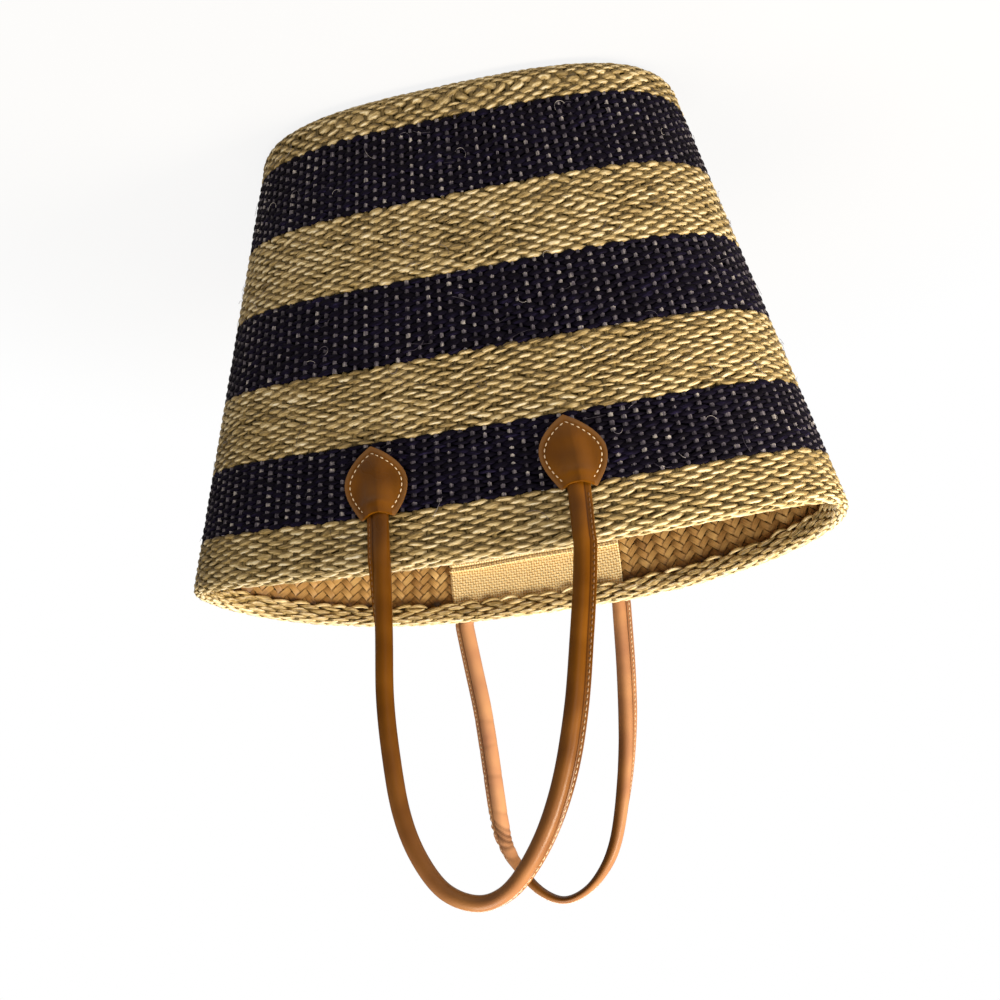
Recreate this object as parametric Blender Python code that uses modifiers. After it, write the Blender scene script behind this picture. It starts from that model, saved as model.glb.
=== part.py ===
"""Kiondo basket: a woven sisal tote with a plaited lining, an inside pocket and two leather handles.

Units are metres and +Z is up. The origin is on the floor, under the middle of the basket. X runs
along the long sides, -Y is the front and +Y the back. Lengths are named below; a value whose name
ends in share or shares is a part of one of those lengths.
"""

import math

import bmesh
import bpy
from mathutils import Matrix, Vector

# Basket body
MOUTH_LENGTH = 0.400
MOUTH_WIDTH = 0.1734
BASE_LENGTH = 0.280
BASE_WIDTH = 0.1554
END_HEIGHT = 0.2897
RIM_RISE = 0.018
BASE_EDGE_RADIUS = 0.0127
WALL = 0.0036
FLOOR = 0.0040
BASE_SQUARENESS = 2.89
MOUTH_SQUARENESS = 2.49
RISE_GROWTH = 0.35
STRIPE_SHARES = (0.037, 0.214, 0.390, 0.569, 0.733, 0.884)

# Turned-in hem, lining and pocket
HEM_DEPTH = 0.0115
HEM_THICKNESS = 0.0028
HEM_CORD_RADIUS = 0.0011
LINING = 0.0010
POCKET_CLOTH = 0.0008
POCKET_WIDTH = 0.114
POCKET_BACK_LENGTH = 0.165
POCKET_MOUTH_DROP = 0.028
POCKET_HEM_HEIGHT = 0.008

# Leather tabs
TAB_LENGTH = 0.0434
TAB_WIDTH = 0.0366
TAB_MOUTH_WIDTH = 0.0192
TAB_LEATHER = 0.0016
TAB_MOUTH_BELOW_RIM = 0.030
TAB_MOUTH_HOLLOW = 0.0020
TAB_DOME_REACH = 0.0079
TAB_DOME_STEEPNESS = 6
TAB_WIDEST_SHARE = 0.48
TAB_TAIL_SHARE = 0.62
TAB_STITCH_INSET = 0.0030
TAB_STITCH_TIP_INSET = 0.0045
TAB_THREAD_RADIUS = 0.00035

# Rolled leather handles
FRONT_TAB_SPACING = 0.112
BACK_TAB_SPACING = 0.107
FRONT_HANDLE_RISE = 0.172
BACK_HANDLE_RISE = 0.179
HANDLE_RADIUS = 0.00475
HANDLE_LEATHER = 0.0012
HANDLE_FIN = 0.0030
SEAM_THREAD_RADIUS = 0.00035
TAIL_MOUTH_THICKNESS = 0.0070
TAIL_END_THICKNESS = 0.0030
HINGE_OVER_RIM = 0.0024
HANDLE_RELIEF_DEGREES = 30
FRONT_ROUTE_SHARES = (
    (1.00, 0.00), (1.02, 0.20), (1.03, 0.38), (1.01, 0.55), (0.95, 0.72), (0.82, 0.85),
    (0.61, 0.955), (0.33, 1.00), (0.06, 0.985), (-0.18, 0.92), (-0.42, 0.805), (-0.62, 0.655),
    (-0.78, 0.47), (-0.89, 0.27), (-0.96, 0.12), (-1.00, 0.00),
)
BACK_ROUTE_SHARES = (
    (1.00, 0.00), (0.95, 0.14), (0.90, 0.30), (0.87, 0.46), (0.85, 0.62), (0.82, 0.74),
    (0.70, 0.84), (0.44, 0.945), (0.16, 0.998), (-0.10, 0.99), (-0.36, 0.935), (-0.58, 0.84),
    (-0.74, 0.69), (-0.87, 0.49), (-0.95, 0.26), (-1.00, 0.00),
)

# Gaps and mesh detail
CLEARANCE = 0.0003
OVERRUN = 0.004
MERGE = 0.00001
AROUND = 44
ARC_STEPS = 4
CORD_SIDES = 6
FIN_ARC_STEPS = 10
HANDLE_STEPS = 32
HANDLE_END_STEPS = 9
ROUTE_DETAIL = 8
TAB_COLUMNS = 12
TAB_ROWS = 8
TAB_THREAD_STEPS = 22
POCKET_COLUMNS = 12
POCKET_ROWS = 6
DEPTH_PASSES = 12
TUBE_DETAIL = 1

# Worked-out sizes
HEM_SLOT = LINING + POCKET_CLOTH + 3 * CLEARANCE
RIM_THICKNESS = WALL + HEM_SLOT + HEM_THICKNESS
SIDE_HEIGHT = END_HEIGHT - BASE_EDGE_RADIUS
RIM_TOP = END_HEIGHT + RIM_RISE
STRIPE_LEVELS = [BASE_EDGE_RADIUS + SIDE_HEIGHT * share for share in STRIPE_SHARES]

COLOURS = {
    "natural_sisal": ((0.62, 0.49, 0.25), 0.75),
    "navy_sisal": ((0.018, 0.012, 0.045), 0.70),
    "plaited_palm": ((0.50, 0.30, 0.12), 0.60),
    "hessian": ((0.66, 0.44, 0.16), 0.85),
    "tan_leather": ((0.30, 0.125, 0.035), 0.40),
    "cream_thread": ((0.85, 0.68, 0.48), 0.65),
    "filler_cord": ((0.70, 0.64, 0.52), 0.80),
}


def clear_scene():
    """Remove whatever the opened file holds."""
    for thing in list(bpy.data.objects):
        bpy.data.objects.remove(thing, do_unlink=True)


def new_collection(name):
    """A collection linked to the scene."""
    collection = bpy.data.collections.new(name)
    bpy.context.scene.collection.children.link(collection)
    return collection


def make_materials():
    """One Principled material for each finish."""
    made = {}
    for name, (colour, roughness) in COLOURS.items():
        material = bpy.data.materials.new(name)
        material.use_nodes = True
        shader = material.node_tree.nodes["Principled BSDF"]
        shader.inputs["Base Color"].default_value = (*colour, 1.0)
        shader.inputs["Roughness"].default_value = roughness
        shader.inputs["Metallic"].default_value = 0.0
        made[name] = material
    return made


clear_scene()
BASKET = new_collection("kiondo_basket")
CUTTERS = new_collection("cutters")
MATERIALS = make_materials()


def signed_power(value, power):
    """A power that keeps the sign of what it is taken of."""
    return math.copysign(abs(value) ** power, value)


def object_from_bmesh(name, bm, material, smooth_degrees=40):
    """Close a bmesh into a named object of the basket."""
    bmesh.ops.remove_doubles(bm, verts=bm.verts, dist=MERGE)
    bmesh.ops.recalc_face_normals(bm, faces=bm.faces)
    if bm.calc_volume(signed=True) < 0:
        bmesh.ops.reverse_faces(bm, faces=bm.faces)
    mesh = bpy.data.meshes.new(name)
    bm.to_mesh(mesh)
    bm.free()
    mesh.shade_smooth()
    mesh.set_sharp_from_angle(angle=math.radians(smooth_degrees))
    mesh.materials.append(MATERIALS[material])
    thing = bpy.data.objects.new(name, mesh)
    BASKET.objects.link(thing)
    return thing


def mesh_from(thing, name):
    """Turn a guide object into a plain mesh, and remove the guide."""
    graph = bpy.context.evaluated_depsgraph_get()
    mesh = bpy.data.meshes.new_from_object(thing.evaluated_get(graph))
    mesh.name = name
    mesh.transform(thing.matrix_world)
    bpy.data.objects.remove(thing, do_unlink=True)
    return mesh


# Shape of the woven wall, where a level is a height over the floor at the basket's two ends

def side_share(level):
    """Share of the side's height that a level stands for."""
    return min(max((level - BASE_EDGE_RADIUS) / SIDE_HEIGHT, 0.0), 1.0)


def wall_half_sizes(share):
    """Half length, half width and squareness of the outside at a share of the side's height."""
    half_length = (BASE_LENGTH + (MOUTH_LENGTH - BASE_LENGTH) * share) / 2
    half_width = (BASE_WIDTH + (MOUTH_WIDTH - BASE_WIDTH) * share) / 2
    squareness = BASE_SQUARENESS + (MOUTH_SQUARENESS - BASE_SQUARENESS) * share
    return half_length, half_width, squareness


def wall_rise(sine, share):
    """How far the rows bow upwards towards the middle of the long sides."""
    return RIM_RISE * share ** RISE_GROWTH * sine * sine


def wall_point(angle, level, inset=0.0):
    """A point at an angle round the basket, set in from its outside."""
    share = side_share(level)
    half_length, half_width, squareness = wall_half_sizes(share)
    power = 2 / squareness
    x = (half_length - inset) * signed_power(math.cos(angle), power)
    y = (half_width - inset) * signed_power(math.sin(angle), power)
    return Vector((x, y, level + wall_rise(math.sin(angle), share)))


def flank_sine(x, share):
    """Sine of the angle round the basket at a place along a long side."""
    half_length, _, squareness = wall_half_sizes(share)
    return math.sqrt(max(0.0, 1 - (abs(x) / half_length) ** squareness))


def wall_depth(x, height):
    """Distance of the outside from the middle plane, at a place along a long side."""
    share = 1.0
    for _ in range(DEPTH_PASSES):
        share = side_share(height - wall_rise(flank_sine(x, share), share))
    _, half_width, squareness = wall_half_sizes(share)
    return half_width * flank_sine(x, share) ** (2 / squareness)


def rim_height(x):
    """Height of the rim at a place along a long side."""
    return END_HEIGHT + wall_rise(flank_sine(x, 1.0), 1.0)


# Rings of the basket: a grid wrapped round the oval, then closed on itself

def ring_solid(name, section, material, capped=False):
    """Sweep a section of (inset, level) places round the basket."""
    places = len(section)
    steps = places - 1 if capped else places
    bm = bmesh.new()
    bmesh.ops.create_grid(bm, x_segments=steps, y_segments=AROUND, size=0.5)
    for vert in bm.verts:
        inset, level = section[round((vert.co.x + 0.5) * steps) % places]
        turn = round((vert.co.y + 0.5) * AROUND) % AROUND
        vert.co = wall_point(math.tau * turn / AROUND, level, inset)
    bmesh.ops.remove_doubles(bm, verts=bm.verts, dist=MERGE)
    if capped:
        loose = [edge for edge in bm.edges if edge.is_boundary]
        bmesh.ops.holes_fill(bm, edges=loose, sides=AROUND)
    return object_from_bmesh(name, bm, material)


def make_base():
    """Woven floor with its rounded edge and the first natural rows of the side."""
    section = []
    for step in range(ARC_STEPS + 1):
        turn = math.radians(90) * step / ARC_STEPS
        inset = BASE_EDGE_RADIUS * (1 - math.sin(turn))
        section.append((inset, BASE_EDGE_RADIUS * (1 - math.cos(turn))))
    top = STRIPE_LEVELS[0] - CLEARANCE / 2
    section.append((0.0, top))
    section.append((WALL, top))
    section.append((WALL, BASE_EDGE_RADIUS))
    section.append((BASE_EDGE_RADIUS, FLOOR))
    ring_solid("base_weave", section, "natural_sisal", capped=True)


def make_stripes():
    """Five stripes of weft, navy and natural in turn."""
    names = (
        ("weft_navy_low", "navy_sisal"), ("weft_natural_low", "natural_sisal"),
        ("weft_navy_middle", "navy_sisal"), ("weft_natural_middle", "natural_sisal"),
        ("weft_navy_top", "navy_sisal"),
    )
    for (name, material), start, end in zip(names, STRIPE_LEVELS, STRIPE_LEVELS[1:]):
        low = start + CLEARANCE / 2
        high = end - CLEARANCE / 2
        middle = (low + high) / 2
        ring_solid(name, [
            (0.0, low), (0.0, middle), (0.0, high),
            (WALL, high), (WALL, middle), (WALL, low),
        ], material)


def make_top_stripe():
    """Top natural rows, folded over the rim and turned in as a hem over the lining's edge."""
    low = STRIPE_LEVELS[-1] + CLEARANCE / 2
    fold = RIM_THICKNESS / 2
    shoulder = END_HEIGHT - fold
    section = [(0.0, low)]
    arc_steps = 2 * ARC_STEPS
    for step in range(arc_steps + 1):
        turn = math.radians(180) * step / arc_steps
        section.append((fold * (1 - math.cos(turn)), shoulder + fold * math.sin(turn)))
    hem_back = RIM_THICKNESS - HEM_THICKNESS
    section.append((RIM_THICKNESS, END_HEIGHT - HEM_DEPTH))
    section.append((hem_back, END_HEIGHT - HEM_DEPTH))
    section.append((hem_back, shoulder))
    section.append((WALL, shoulder))
    section.append((WALL, low))
    ring_solid("weft_natural_top", section, "natural_sisal")


def make_hem_cord():
    """Cord that whips the raw edge of the hem."""
    centre = RIM_THICKNESS - HEM_THICKNESS / 2
    level = END_HEIGHT - HEM_DEPTH - CLEARANCE - HEM_CORD_RADIUS
    section = []
    for side in range(CORD_SIDES):
        turn = math.tau * side / CORD_SIDES
        inset = centre - HEM_CORD_RADIUS * math.cos(turn)
        section.append((inset, level + HEM_CORD_RADIUS * math.sin(turn)))
    ring_solid("hem_whipping", section, "natural_sisal")


def make_lining():
    """Plaited palm mat: an oval on the floor and a wall tucked up under the hem."""
    outer = WALL + CLEARANCE
    inner = outer + LINING
    foot = BASE_EDGE_RADIUS + CLEARANCE
    bottom = FLOOR + CLEARANCE
    high = END_HEIGHT - RIM_THICKNESS / 2 - CLEARANCE
    levels = [foot, *STRIPE_LEVELS, high]
    section = [(foot, bottom)]
    section += [(outer, level) for level in levels]
    section += [(inner, level) for level in reversed(levels[1:])]
    section.append((inner, foot + LINING / 2))
    section.append((foot, bottom + LINING * math.sqrt(2)))
    ring_solid("lining_wall", section, "plaited_palm")
    reach = foot + CLEARANCE
    ring_solid("lining_base", [(reach, bottom), (reach, bottom + LINING)], "plaited_palm", capped=True)


# Pocket: hessian sheets that lie on the lining of the back wall

def pocket_sheet(name, top, bottom, inset, rows=POCKET_ROWS):
    """A cloth sheet on the inside of the back wall, tops and bottoms given as levels."""
    bm = bmesh.new()
    bmesh.ops.create_grid(bm, x_segments=POCKET_COLUMNS, y_segments=rows, size=0.5)
    for vert in bm.verts:
        x = vert.co.x * POCKET_WIDTH
        height = bottom + (vert.co.y + 0.5) * (top - bottom) + rim_height(x) - RIM_TOP
        vert.co = Vector((x, wall_depth(x, height) - inset, height))
    made = object_from_bmesh(name, bm, "hessian")
    thickness = made.modifiers.new("cloth thickness", "SOLIDIFY")
    thickness.thickness = POCKET_CLOTH
    thickness.offset = 0
    return made


def make_pocket():
    """Pocket back tucked under the hem, and pocket front with its mouth a little lower."""
    on_lining = WALL + LINING + 2 * CLEARANCE + POCKET_CLOTH / 2
    back_top = RIM_TOP - RIM_THICKNESS / 2 - 2 * CLEARANCE
    bottom = RIM_TOP - POCKET_BACK_LENGTH
    pocket_sheet("pocket_back", back_top, bottom, on_lining)
    front_top = RIM_TOP - HEM_DEPTH - POCKET_MOUTH_DROP
    front_inset = on_lining + POCKET_CLOTH + CLEARANCE
    pocket_sheet("pocket_front", front_top, bottom, front_inset)
    fold_inset = front_inset + POCKET_CLOTH + CLEARANCE
    fold_bottom = front_top - POCKET_HEM_HEIGHT
    pocket_sheet("pocket_mouth_fold", front_top, fold_bottom, fold_inset, rows=1)


# Leather tabs

def smooth_share(value):
    """An ease from 0 to 1."""
    value = min(max(value, 0.0), 1.0)
    return value * value * (3 - 2 * value)


def tab_half_width(along):
    """Half width of the leaf shape, from its mouth at 0 to its point at 1."""
    if along < TAB_WIDEST_SHARE:
        swell = math.sin(math.radians(90) * along / TAB_WIDEST_SHARE)
        return (TAB_MOUTH_WIDTH + (TAB_WIDTH - TAB_MOUTH_WIDTH) * swell) / 2
    taper = (along - TAB_WIDEST_SHARE) / (1 - TAB_WIDEST_SHARE)
    return TAB_WIDTH / 2 * (1 - taper * taper)


def tail_thickness(along):
    """Thickness of the handle's tail under the tab, none past its end."""
    if along > TAB_TAIL_SHARE:
        return 0.0
    share = smooth_share(along / TAB_TAIL_SHARE)
    return TAIL_MOUTH_THICKNESS + (TAIL_END_THICKNESS - TAIL_MOUTH_THICKNESS) * share


def tab_lift(offset, along):
    """How far the tab stands off the wall, where it domes over the tail."""
    blend = smooth_share((1 - along) / (1 - TAB_TAIL_SHARE))
    height = (tail_thickness(min(along, TAB_TAIL_SHARE)) + CLEARANCE) * blend
    return height / (1 + (abs(offset) / TAB_DOME_REACH) ** TAB_DOME_STEEPNESS)


def tab_mouth_level(centre):
    """Height of a tab's mouth, measured down from the rim above it."""
    return rim_height(centre) - TAB_MOUTH_BELOW_RIM


def tab_point(centre, side, across, along, off_wall):
    """A point of a tab: across runs -1 to 1, along runs from the mouth to the point."""
    offset = across * tab_half_width(along)
    hollow = TAB_MOUTH_HOLLOW * (1 - across * across) * max(0.0, 1 - along * 2)
    level = tab_mouth_level(centre) - along * TAB_LENGTH - hollow
    depth = wall_depth(centre + offset, level) + CLEARANCE + off_wall + tab_lift(offset, along)
    return Vector((centre + offset, side * depth, level))


def make_tab(name, centre, side):
    """Leaf-shaped leather tab that lies on the wall and domes over the tail of the handle."""
    bm = bmesh.new()
    bmesh.ops.create_grid(bm, x_segments=TAB_COLUMNS, y_segments=TAB_ROWS, size=0.5)
    for vert in bm.verts:
        along = vert.co.y + 0.5
        vert.co = tab_point(centre, side, vert.co.x * 2, along, TAB_LEATHER / 2)
    made = object_from_bmesh(name, bm, "tan_leather")
    thickness = made.modifiers.new("leather thickness", "SOLIDIFY")
    thickness.thickness = TAB_LEATHER
    thickness.offset = 0
    return made


def stitch_outline(share):
    """Place on the stitch line, a smaller leaf inside the tab, from one mouth corner to the other."""
    hand = -1 if share < 0.5 else 1
    leaf = 1 - abs(2 * share - 1)
    start = TAB_STITCH_INSET / TAB_LENGTH
    end = 1 - TAB_STITCH_TIP_INSET / TAB_LENGTH
    along = start + (end - start) * leaf
    width = tab_half_width(leaf) * (1 - 2 * TAB_STITCH_INSET / TAB_WIDTH)
    return hand * width / tab_half_width(along), along


def tab_normal(centre, side, across, along):
    """Direction straight out of the tab's leather."""
    step = TAB_STITCH_INSET / TAB_LENGTH
    near = tab_point(centre, side, across, along - step / 2, 0.0)
    far = tab_point(centre, side, across, along + step / 2, 0.0)
    left = tab_point(centre, side, across - step / 2, along, 0.0)
    right = tab_point(centre, side, across + step / 2, along, 0.0)
    normal = (far - near).cross(right - left).normalized()
    return normal if normal.y * side > 0 else -normal


def make_tab_thread(name, centre, side):
    """Thread that sews the tab down, along its stitch line."""
    off_leather = TAB_LEATHER / 2 + 2 * CLEARANCE + TAB_THREAD_RADIUS
    route = []
    for index in range(TAB_THREAD_STEPS + 1):
        across, along = stitch_outline(index / TAB_THREAD_STEPS)
        seat = tab_point(centre, side, across, along, TAB_LEATHER / 2)
        route.append(seat + tab_normal(centre, side, across, along) * off_leather)
    return tube_object(name, route, TAB_THREAD_RADIUS, "cream_thread")


# Handles: a leather strip rolled round a filler cord, with its edges stitched in a fin

def smooth_route(points, count):
    """Evenly spaced points on a smooth curve through the given ones."""
    dense = []
    for index in range(len(points) - 1):
        before = points[max(index - 1, 0)]
        start = points[index]
        end = points[index + 1]
        after = points[min(index + 2, len(points) - 1)]
        for step in range(ROUTE_DETAIL):
            t = step / ROUTE_DETAIL
            dense.append((
                start * 2 + (end - before) * t
                + (before * 2 - start * 5 + end * 4 - after) * t * t
                + (start * 3 - before - end * 3 + after) * t * t * t
            ) / 2)
    dense.append(points[-1])
    lengths = [0.0]
    for start, end in zip(dense, dense[1:]):
        lengths.append(lengths[-1] + (end - start).length)
    route = []
    index = 0
    for step in range(count + 1):
        target = lengths[-1] * step / count
        while index < len(dense) - 2 and lengths[index + 1] < target:
            index += 1
        part = (target - lengths[index]) / (lengths[index + 1] - lengths[index])
        route.append(dense[index].lerp(dense[index + 1], part))
    return route


def handle_facts(place):
    """The sizes that differ between the front and the back handle."""
    if place == "front":
        return -1, (FRONT_TAB_SPACING - HANDLE_FIN) / 2, FRONT_HANDLE_RISE, FRONT_ROUTE_SHARES
    return 1, (BACK_TAB_SPACING - HANDLE_FIN) / 2, BACK_HANDLE_RISE, BACK_ROUTE_SHARES


def hinge_level(half_spacing):
    """Height at which the handle bends over the rim."""
    return rim_height(half_spacing) + HINGE_OVER_RIM


def leg_depth(half_spacing):
    """Distance of a leg's centre from the middle plane, clear of the rim."""
    return wall_depth(half_spacing, rim_height(half_spacing)) + 2 * CLEARANCE + HANDLE_RADIUS


def hinge_depth(half_spacing):
    """Distance of the hinge line from the middle plane, on the outer side of the legs."""
    return leg_depth(half_spacing) + HANDLE_RADIUS + CLEARANCE


def handle_route(place):
    """Centre line of a handle above its hinge, with a straight overrun below it."""
    side, half_spacing, rise, shares = handle_facts(place)
    depth = side * leg_depth(half_spacing)
    base = hinge_level(half_spacing)
    points = [Vector((x * half_spacing, depth, base + z * rise)) for x, z in shares]
    first = points[0] - Vector((0.0, 0.0, OVERRUN))
    last = points[-1] - Vector((0.0, 0.0, OVERRUN))
    return smooth_route([first] + points + [last], HANDLE_STEPS)


def curve_object(name, points):
    """An open poly curve through points."""
    curve = bpy.data.curves.new(name, "CURVE")
    curve.dimensions = "3D"
    spline = curve.splines.new("POLY")
    spline.points.add(len(points) - 1)
    for place, point in zip(spline.points, points):
        place.co = (*point, 1.0)
    thing = bpy.data.objects.new(name, curve)
    CUTTERS.objects.link(thing)
    thing.hide_render = True
    thing.display_type = "WIRE"
    return thing


def fin_section(half_gap, shell_radius, tip):
    """Outline of the rolled strip seen end on: round the cord and out along both fin faces."""
    start = math.asin(half_gap / shell_radius)
    outline = [(tip, half_gap)]
    for step in range(FIN_ARC_STEPS + 1):
        turn = start + (math.tau - 2 * start) * step / FIN_ARC_STEPS
        outline.append((shell_radius * math.cos(turn), shell_radius * math.sin(turn)))
    outline.append((tip, -half_gap))
    return outline


def swept_mesh(name, route, outline, closed):
    """Sweep a section along a route that lies in an upright plane, fin on the outer side."""
    count = len(outline)
    around = count if closed else count - 1
    steps = len(route) - 1
    bm = bmesh.new()
    bmesh.ops.create_grid(bm, x_segments=around, y_segments=steps, size=0.5)
    for vert in bm.verts:
        corner = round((vert.co.x + 0.5) * around) % count
        step = round((vert.co.y + 0.5) * steps)
        run = route[min(step + 1, steps)] - route[max(step - 1, 0)]
        outward = Vector((run.z, 0.0, -run.x)).normalized()
        along_fin, sideways = outline[corner]
        vert.co = route[step] + outward * along_fin + Vector((0.0, sideways, 0.0))
    bmesh.ops.remove_doubles(bm, verts=bm.verts, dist=MERGE)
    if closed:
        loose = [edge for edge in bm.edges if edge.is_boundary]
        bmesh.ops.holes_fill(bm, edges=loose, sides=count)
    return bm


def tube_object(name, route, radius, material):
    """A round tube along a route."""
    guide = curve_object(name + "_guide", route)
    guide.data.bevel_depth = radius
    guide.data.bevel_resolution = TUBE_DETAIL
    guide.data.use_fill_caps = True
    mesh = mesh_from(guide, name)
    bm = bmesh.new()
    bm.from_mesh(mesh)
    bpy.data.meshes.remove(mesh)
    return object_from_bmesh(name, bm, material)


def relief_cutter(place):
    """Block that trims a handle's leg ends to a slope, so that they clear their ends inwards."""
    side, half_spacing, _, _ = handle_facts(place)
    length = 2 * half_spacing + 8 * HANDLE_RADIUS
    reach = 8 * HANDLE_RADIUS
    bpy.ops.mesh.primitive_cube_add(size=1.0)
    cutter = bpy.context.object
    cutter.name = f"handle_{place}_relief"
    block = Matrix.Diagonal((length, reach, reach, 1.0))
    place_under = Matrix.Translation((0.0, side * (OVERRUN - reach / 2), -reach / 2))
    cutter.data.transform(place_under @ block)
    cutter.location = (0.0, side * hinge_depth(half_spacing), hinge_level(half_spacing))
    cutter.rotation_euler.x = -side * math.radians(HANDLE_RELIEF_DEGREES)
    cutter.hide_render = True
    cutter.display_type = "WIRE"
    for collection in list(cutter.users_collection):
        collection.objects.unlink(cutter)
    CUTTERS.objects.link(cutter)
    return cutter


def add_cut(thing, cutter):
    """Cut a piece with a cutter."""
    cut = thing.modifiers.new("leg end", "BOOLEAN")
    cut.operation = "DIFFERENCE"
    cut.object = cutter


def hang_on_hinge(thing, pivot):
    """Parent a moving piece to the empty on its hinge line."""
    thing.parent = pivot
    thing.matrix_parent_inverse = Matrix.Translation(pivot.location).inverted()


def make_handle(place):
    """One handle: sleeve, filler cord and seam thread, on one hinge line."""
    side, half_spacing, _, _ = handle_facts(place)
    route = handle_route(place)
    pivot = bpy.data.objects.new(f"handle_{place}_hinge", None)
    pivot.location = (0.0, side * hinge_depth(half_spacing), hinge_level(half_spacing))
    BASKET.objects.link(pivot)
    cutter = relief_cutter(place)

    half_gap = (HANDLE_LEATHER + CLEARANCE) / 2
    middle = HANDLE_RADIUS - HANDLE_LEATHER / 2
    outline = fin_section(half_gap, middle, HANDLE_RADIUS + HANDLE_FIN)
    sleeve = object_from_bmesh(
        f"handle_{place}_sleeve", swept_mesh("sleeve", route, outline, False), "tan_leather")
    wall = sleeve.modifiers.new("leather thickness", "SOLIDIFY")
    wall.thickness = HANDLE_LEATHER
    wall.offset = 0
    wall.use_even_offset = True
    add_cut(sleeve, cutter)

    core_radius = HANDLE_RADIUS - HANDLE_LEATHER - 2 * CLEARANCE
    core = tube_object(f"handle_{place}_filler", route, core_radius, "filler_cord")
    add_cut(core, cutter)

    thread_out = HANDLE_RADIUS + HANDLE_FIN / 2
    thread_side = HANDLE_LEATHER + 1.5 * CLEARANCE + SEAM_THREAD_RADIUS
    thread_route = []
    for step, point in enumerate(route):
        run = route[min(step + 1, len(route) - 1)] - route[max(step - 1, 0)]
        outward = Vector((run.z, 0.0, -run.x)).normalized()
        thread_route.append(point + outward * thread_out + Vector((0.0, side * thread_side, 0.0)))
    thread = tube_object(
        f"handle_{place}_seam_thread", thread_route[1:-1], SEAM_THREAD_RADIUS, "cream_thread")
    add_cut(thread, cutter)

    for piece in (sleeve, core, thread):
        hang_on_hinge(piece, pivot)


def make_handle_end(name, place, hand):
    """Fixed end of a handle: up from its flattened tail under the tab to the bend at the rim."""
    side, half_spacing, _, _ = handle_facts(place)
    centre = hand * half_spacing
    top = hinge_level(half_spacing) - CLEARANCE
    mouth = tab_mouth_level(centre + hand * HANDLE_FIN / 2)
    bottom = mouth - TAB_TAIL_SHARE * TAB_LENGTH + 2 * CLEARANCE
    start = math.asin((HANDLE_LEATHER + CLEARANCE / 2) / HANDLE_RADIUS)
    outline = fin_section(HANDLE_RADIUS * math.sin(start), HANDLE_RADIUS, HANDLE_RADIUS + HANDLE_FIN)
    depth = leg_depth(half_spacing)
    route = []
    for step in range(HANDLE_END_STEPS + 1):
        level = top + (bottom - top) * step / HANDLE_END_STEPS
        route.append(Vector((centre, side * depth, level)))
    if hand > 0:
        route.reverse()
    bm = swept_mesh(name, route, outline, True)
    for vert in bm.verts:
        share = smooth_share((vert.co.z - mouth) / (top - HINGE_OVER_RIM - mouth))
        along = max(0.0, (mouth - vert.co.z) / TAB_LENGTH)
        full = 2 * HANDLE_RADIUS
        thick = tail_thickness(min(along, TAB_TAIL_SHARE)) * (1 - share) + full * share
        wall = wall_depth(vert.co.x, vert.co.z)
        foot = (wall + CLEARANCE) * (1 - share) + (depth - HANDLE_RADIUS) * share
        across = (side * vert.co.y - depth + HANDLE_RADIUS) / full
        vert.co.y = side * (foot + thick * across)
    return object_from_bmesh(name, bm, "tan_leather")


def build():
    """Make every piece of the basket."""
    make_base()
    make_stripes()
    make_top_stripe()
    make_hem_cord()
    make_lining()
    make_pocket()
    for place in ("front", "back"):
        side, half_spacing, _, _ = handle_facts(place)
        for hand, word in ((1, "right"), (-1, "left")):
            centre = hand * (half_spacing + HANDLE_FIN / 2)
            make_tab(f"tab_{place}_{word}", centre, side)
            make_tab_thread(f"tab_thread_{place}_{word}", centre, side)
            make_handle_end(f"handle_{place}_end_{word}", place, hand)
        make_handle(place)


build()
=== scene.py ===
# %% [markdown]
# A kiondo is a basket twined by hand from sisal yarn. This lesson dresses its imported solids with the
# yarn, palm, hessian and leather that a person sees. The solids give every place, so the first step
# loads them.

# %% Load the solids
import math

import bpy
import numpy as np
from mathutils import Matrix, Vector


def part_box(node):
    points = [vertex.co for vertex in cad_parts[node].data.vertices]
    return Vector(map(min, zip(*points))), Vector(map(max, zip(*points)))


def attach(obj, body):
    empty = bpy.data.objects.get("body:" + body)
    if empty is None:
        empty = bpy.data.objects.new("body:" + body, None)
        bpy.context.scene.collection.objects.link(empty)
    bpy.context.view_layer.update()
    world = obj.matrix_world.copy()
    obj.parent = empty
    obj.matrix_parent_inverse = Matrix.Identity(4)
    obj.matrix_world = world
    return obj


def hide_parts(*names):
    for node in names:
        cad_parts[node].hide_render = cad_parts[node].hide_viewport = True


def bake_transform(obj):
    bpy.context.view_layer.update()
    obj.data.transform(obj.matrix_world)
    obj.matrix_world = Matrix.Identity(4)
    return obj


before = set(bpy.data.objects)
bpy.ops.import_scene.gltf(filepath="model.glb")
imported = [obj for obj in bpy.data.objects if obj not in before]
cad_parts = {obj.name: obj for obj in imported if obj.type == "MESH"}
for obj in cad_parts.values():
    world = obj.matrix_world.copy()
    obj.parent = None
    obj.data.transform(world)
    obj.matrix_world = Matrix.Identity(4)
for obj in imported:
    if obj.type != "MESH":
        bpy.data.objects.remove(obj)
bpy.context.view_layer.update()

MM = 0.001
QUARTER = math.pi / 2
DIAGONAL = math.sqrt(0.5)
chance = np.random.default_rng(7)

# %% [markdown]
# The camera comes first, because every choice of detail depends on how large a millimetre is in the
# picture. The basket stands upright here, while the photograph shows it upside down, so the camera is
# rolled by almost half a turn. Its lens is worked out from the focal length in pixels.

# %% Camera
PICTURE_SIDE = 1000
FOCAL_PIXELS = 1221.4
CAMERA_YAW = math.radians(-10.723)
CAMERA_HEIGHT = math.radians(16.739)
CAMERA_ROLL = math.radians(174.447)
CAMERA_DISTANCE = 0.750
CAMERA_TARGET = Vector((0.0039, 0.0, 0.2503))


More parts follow.
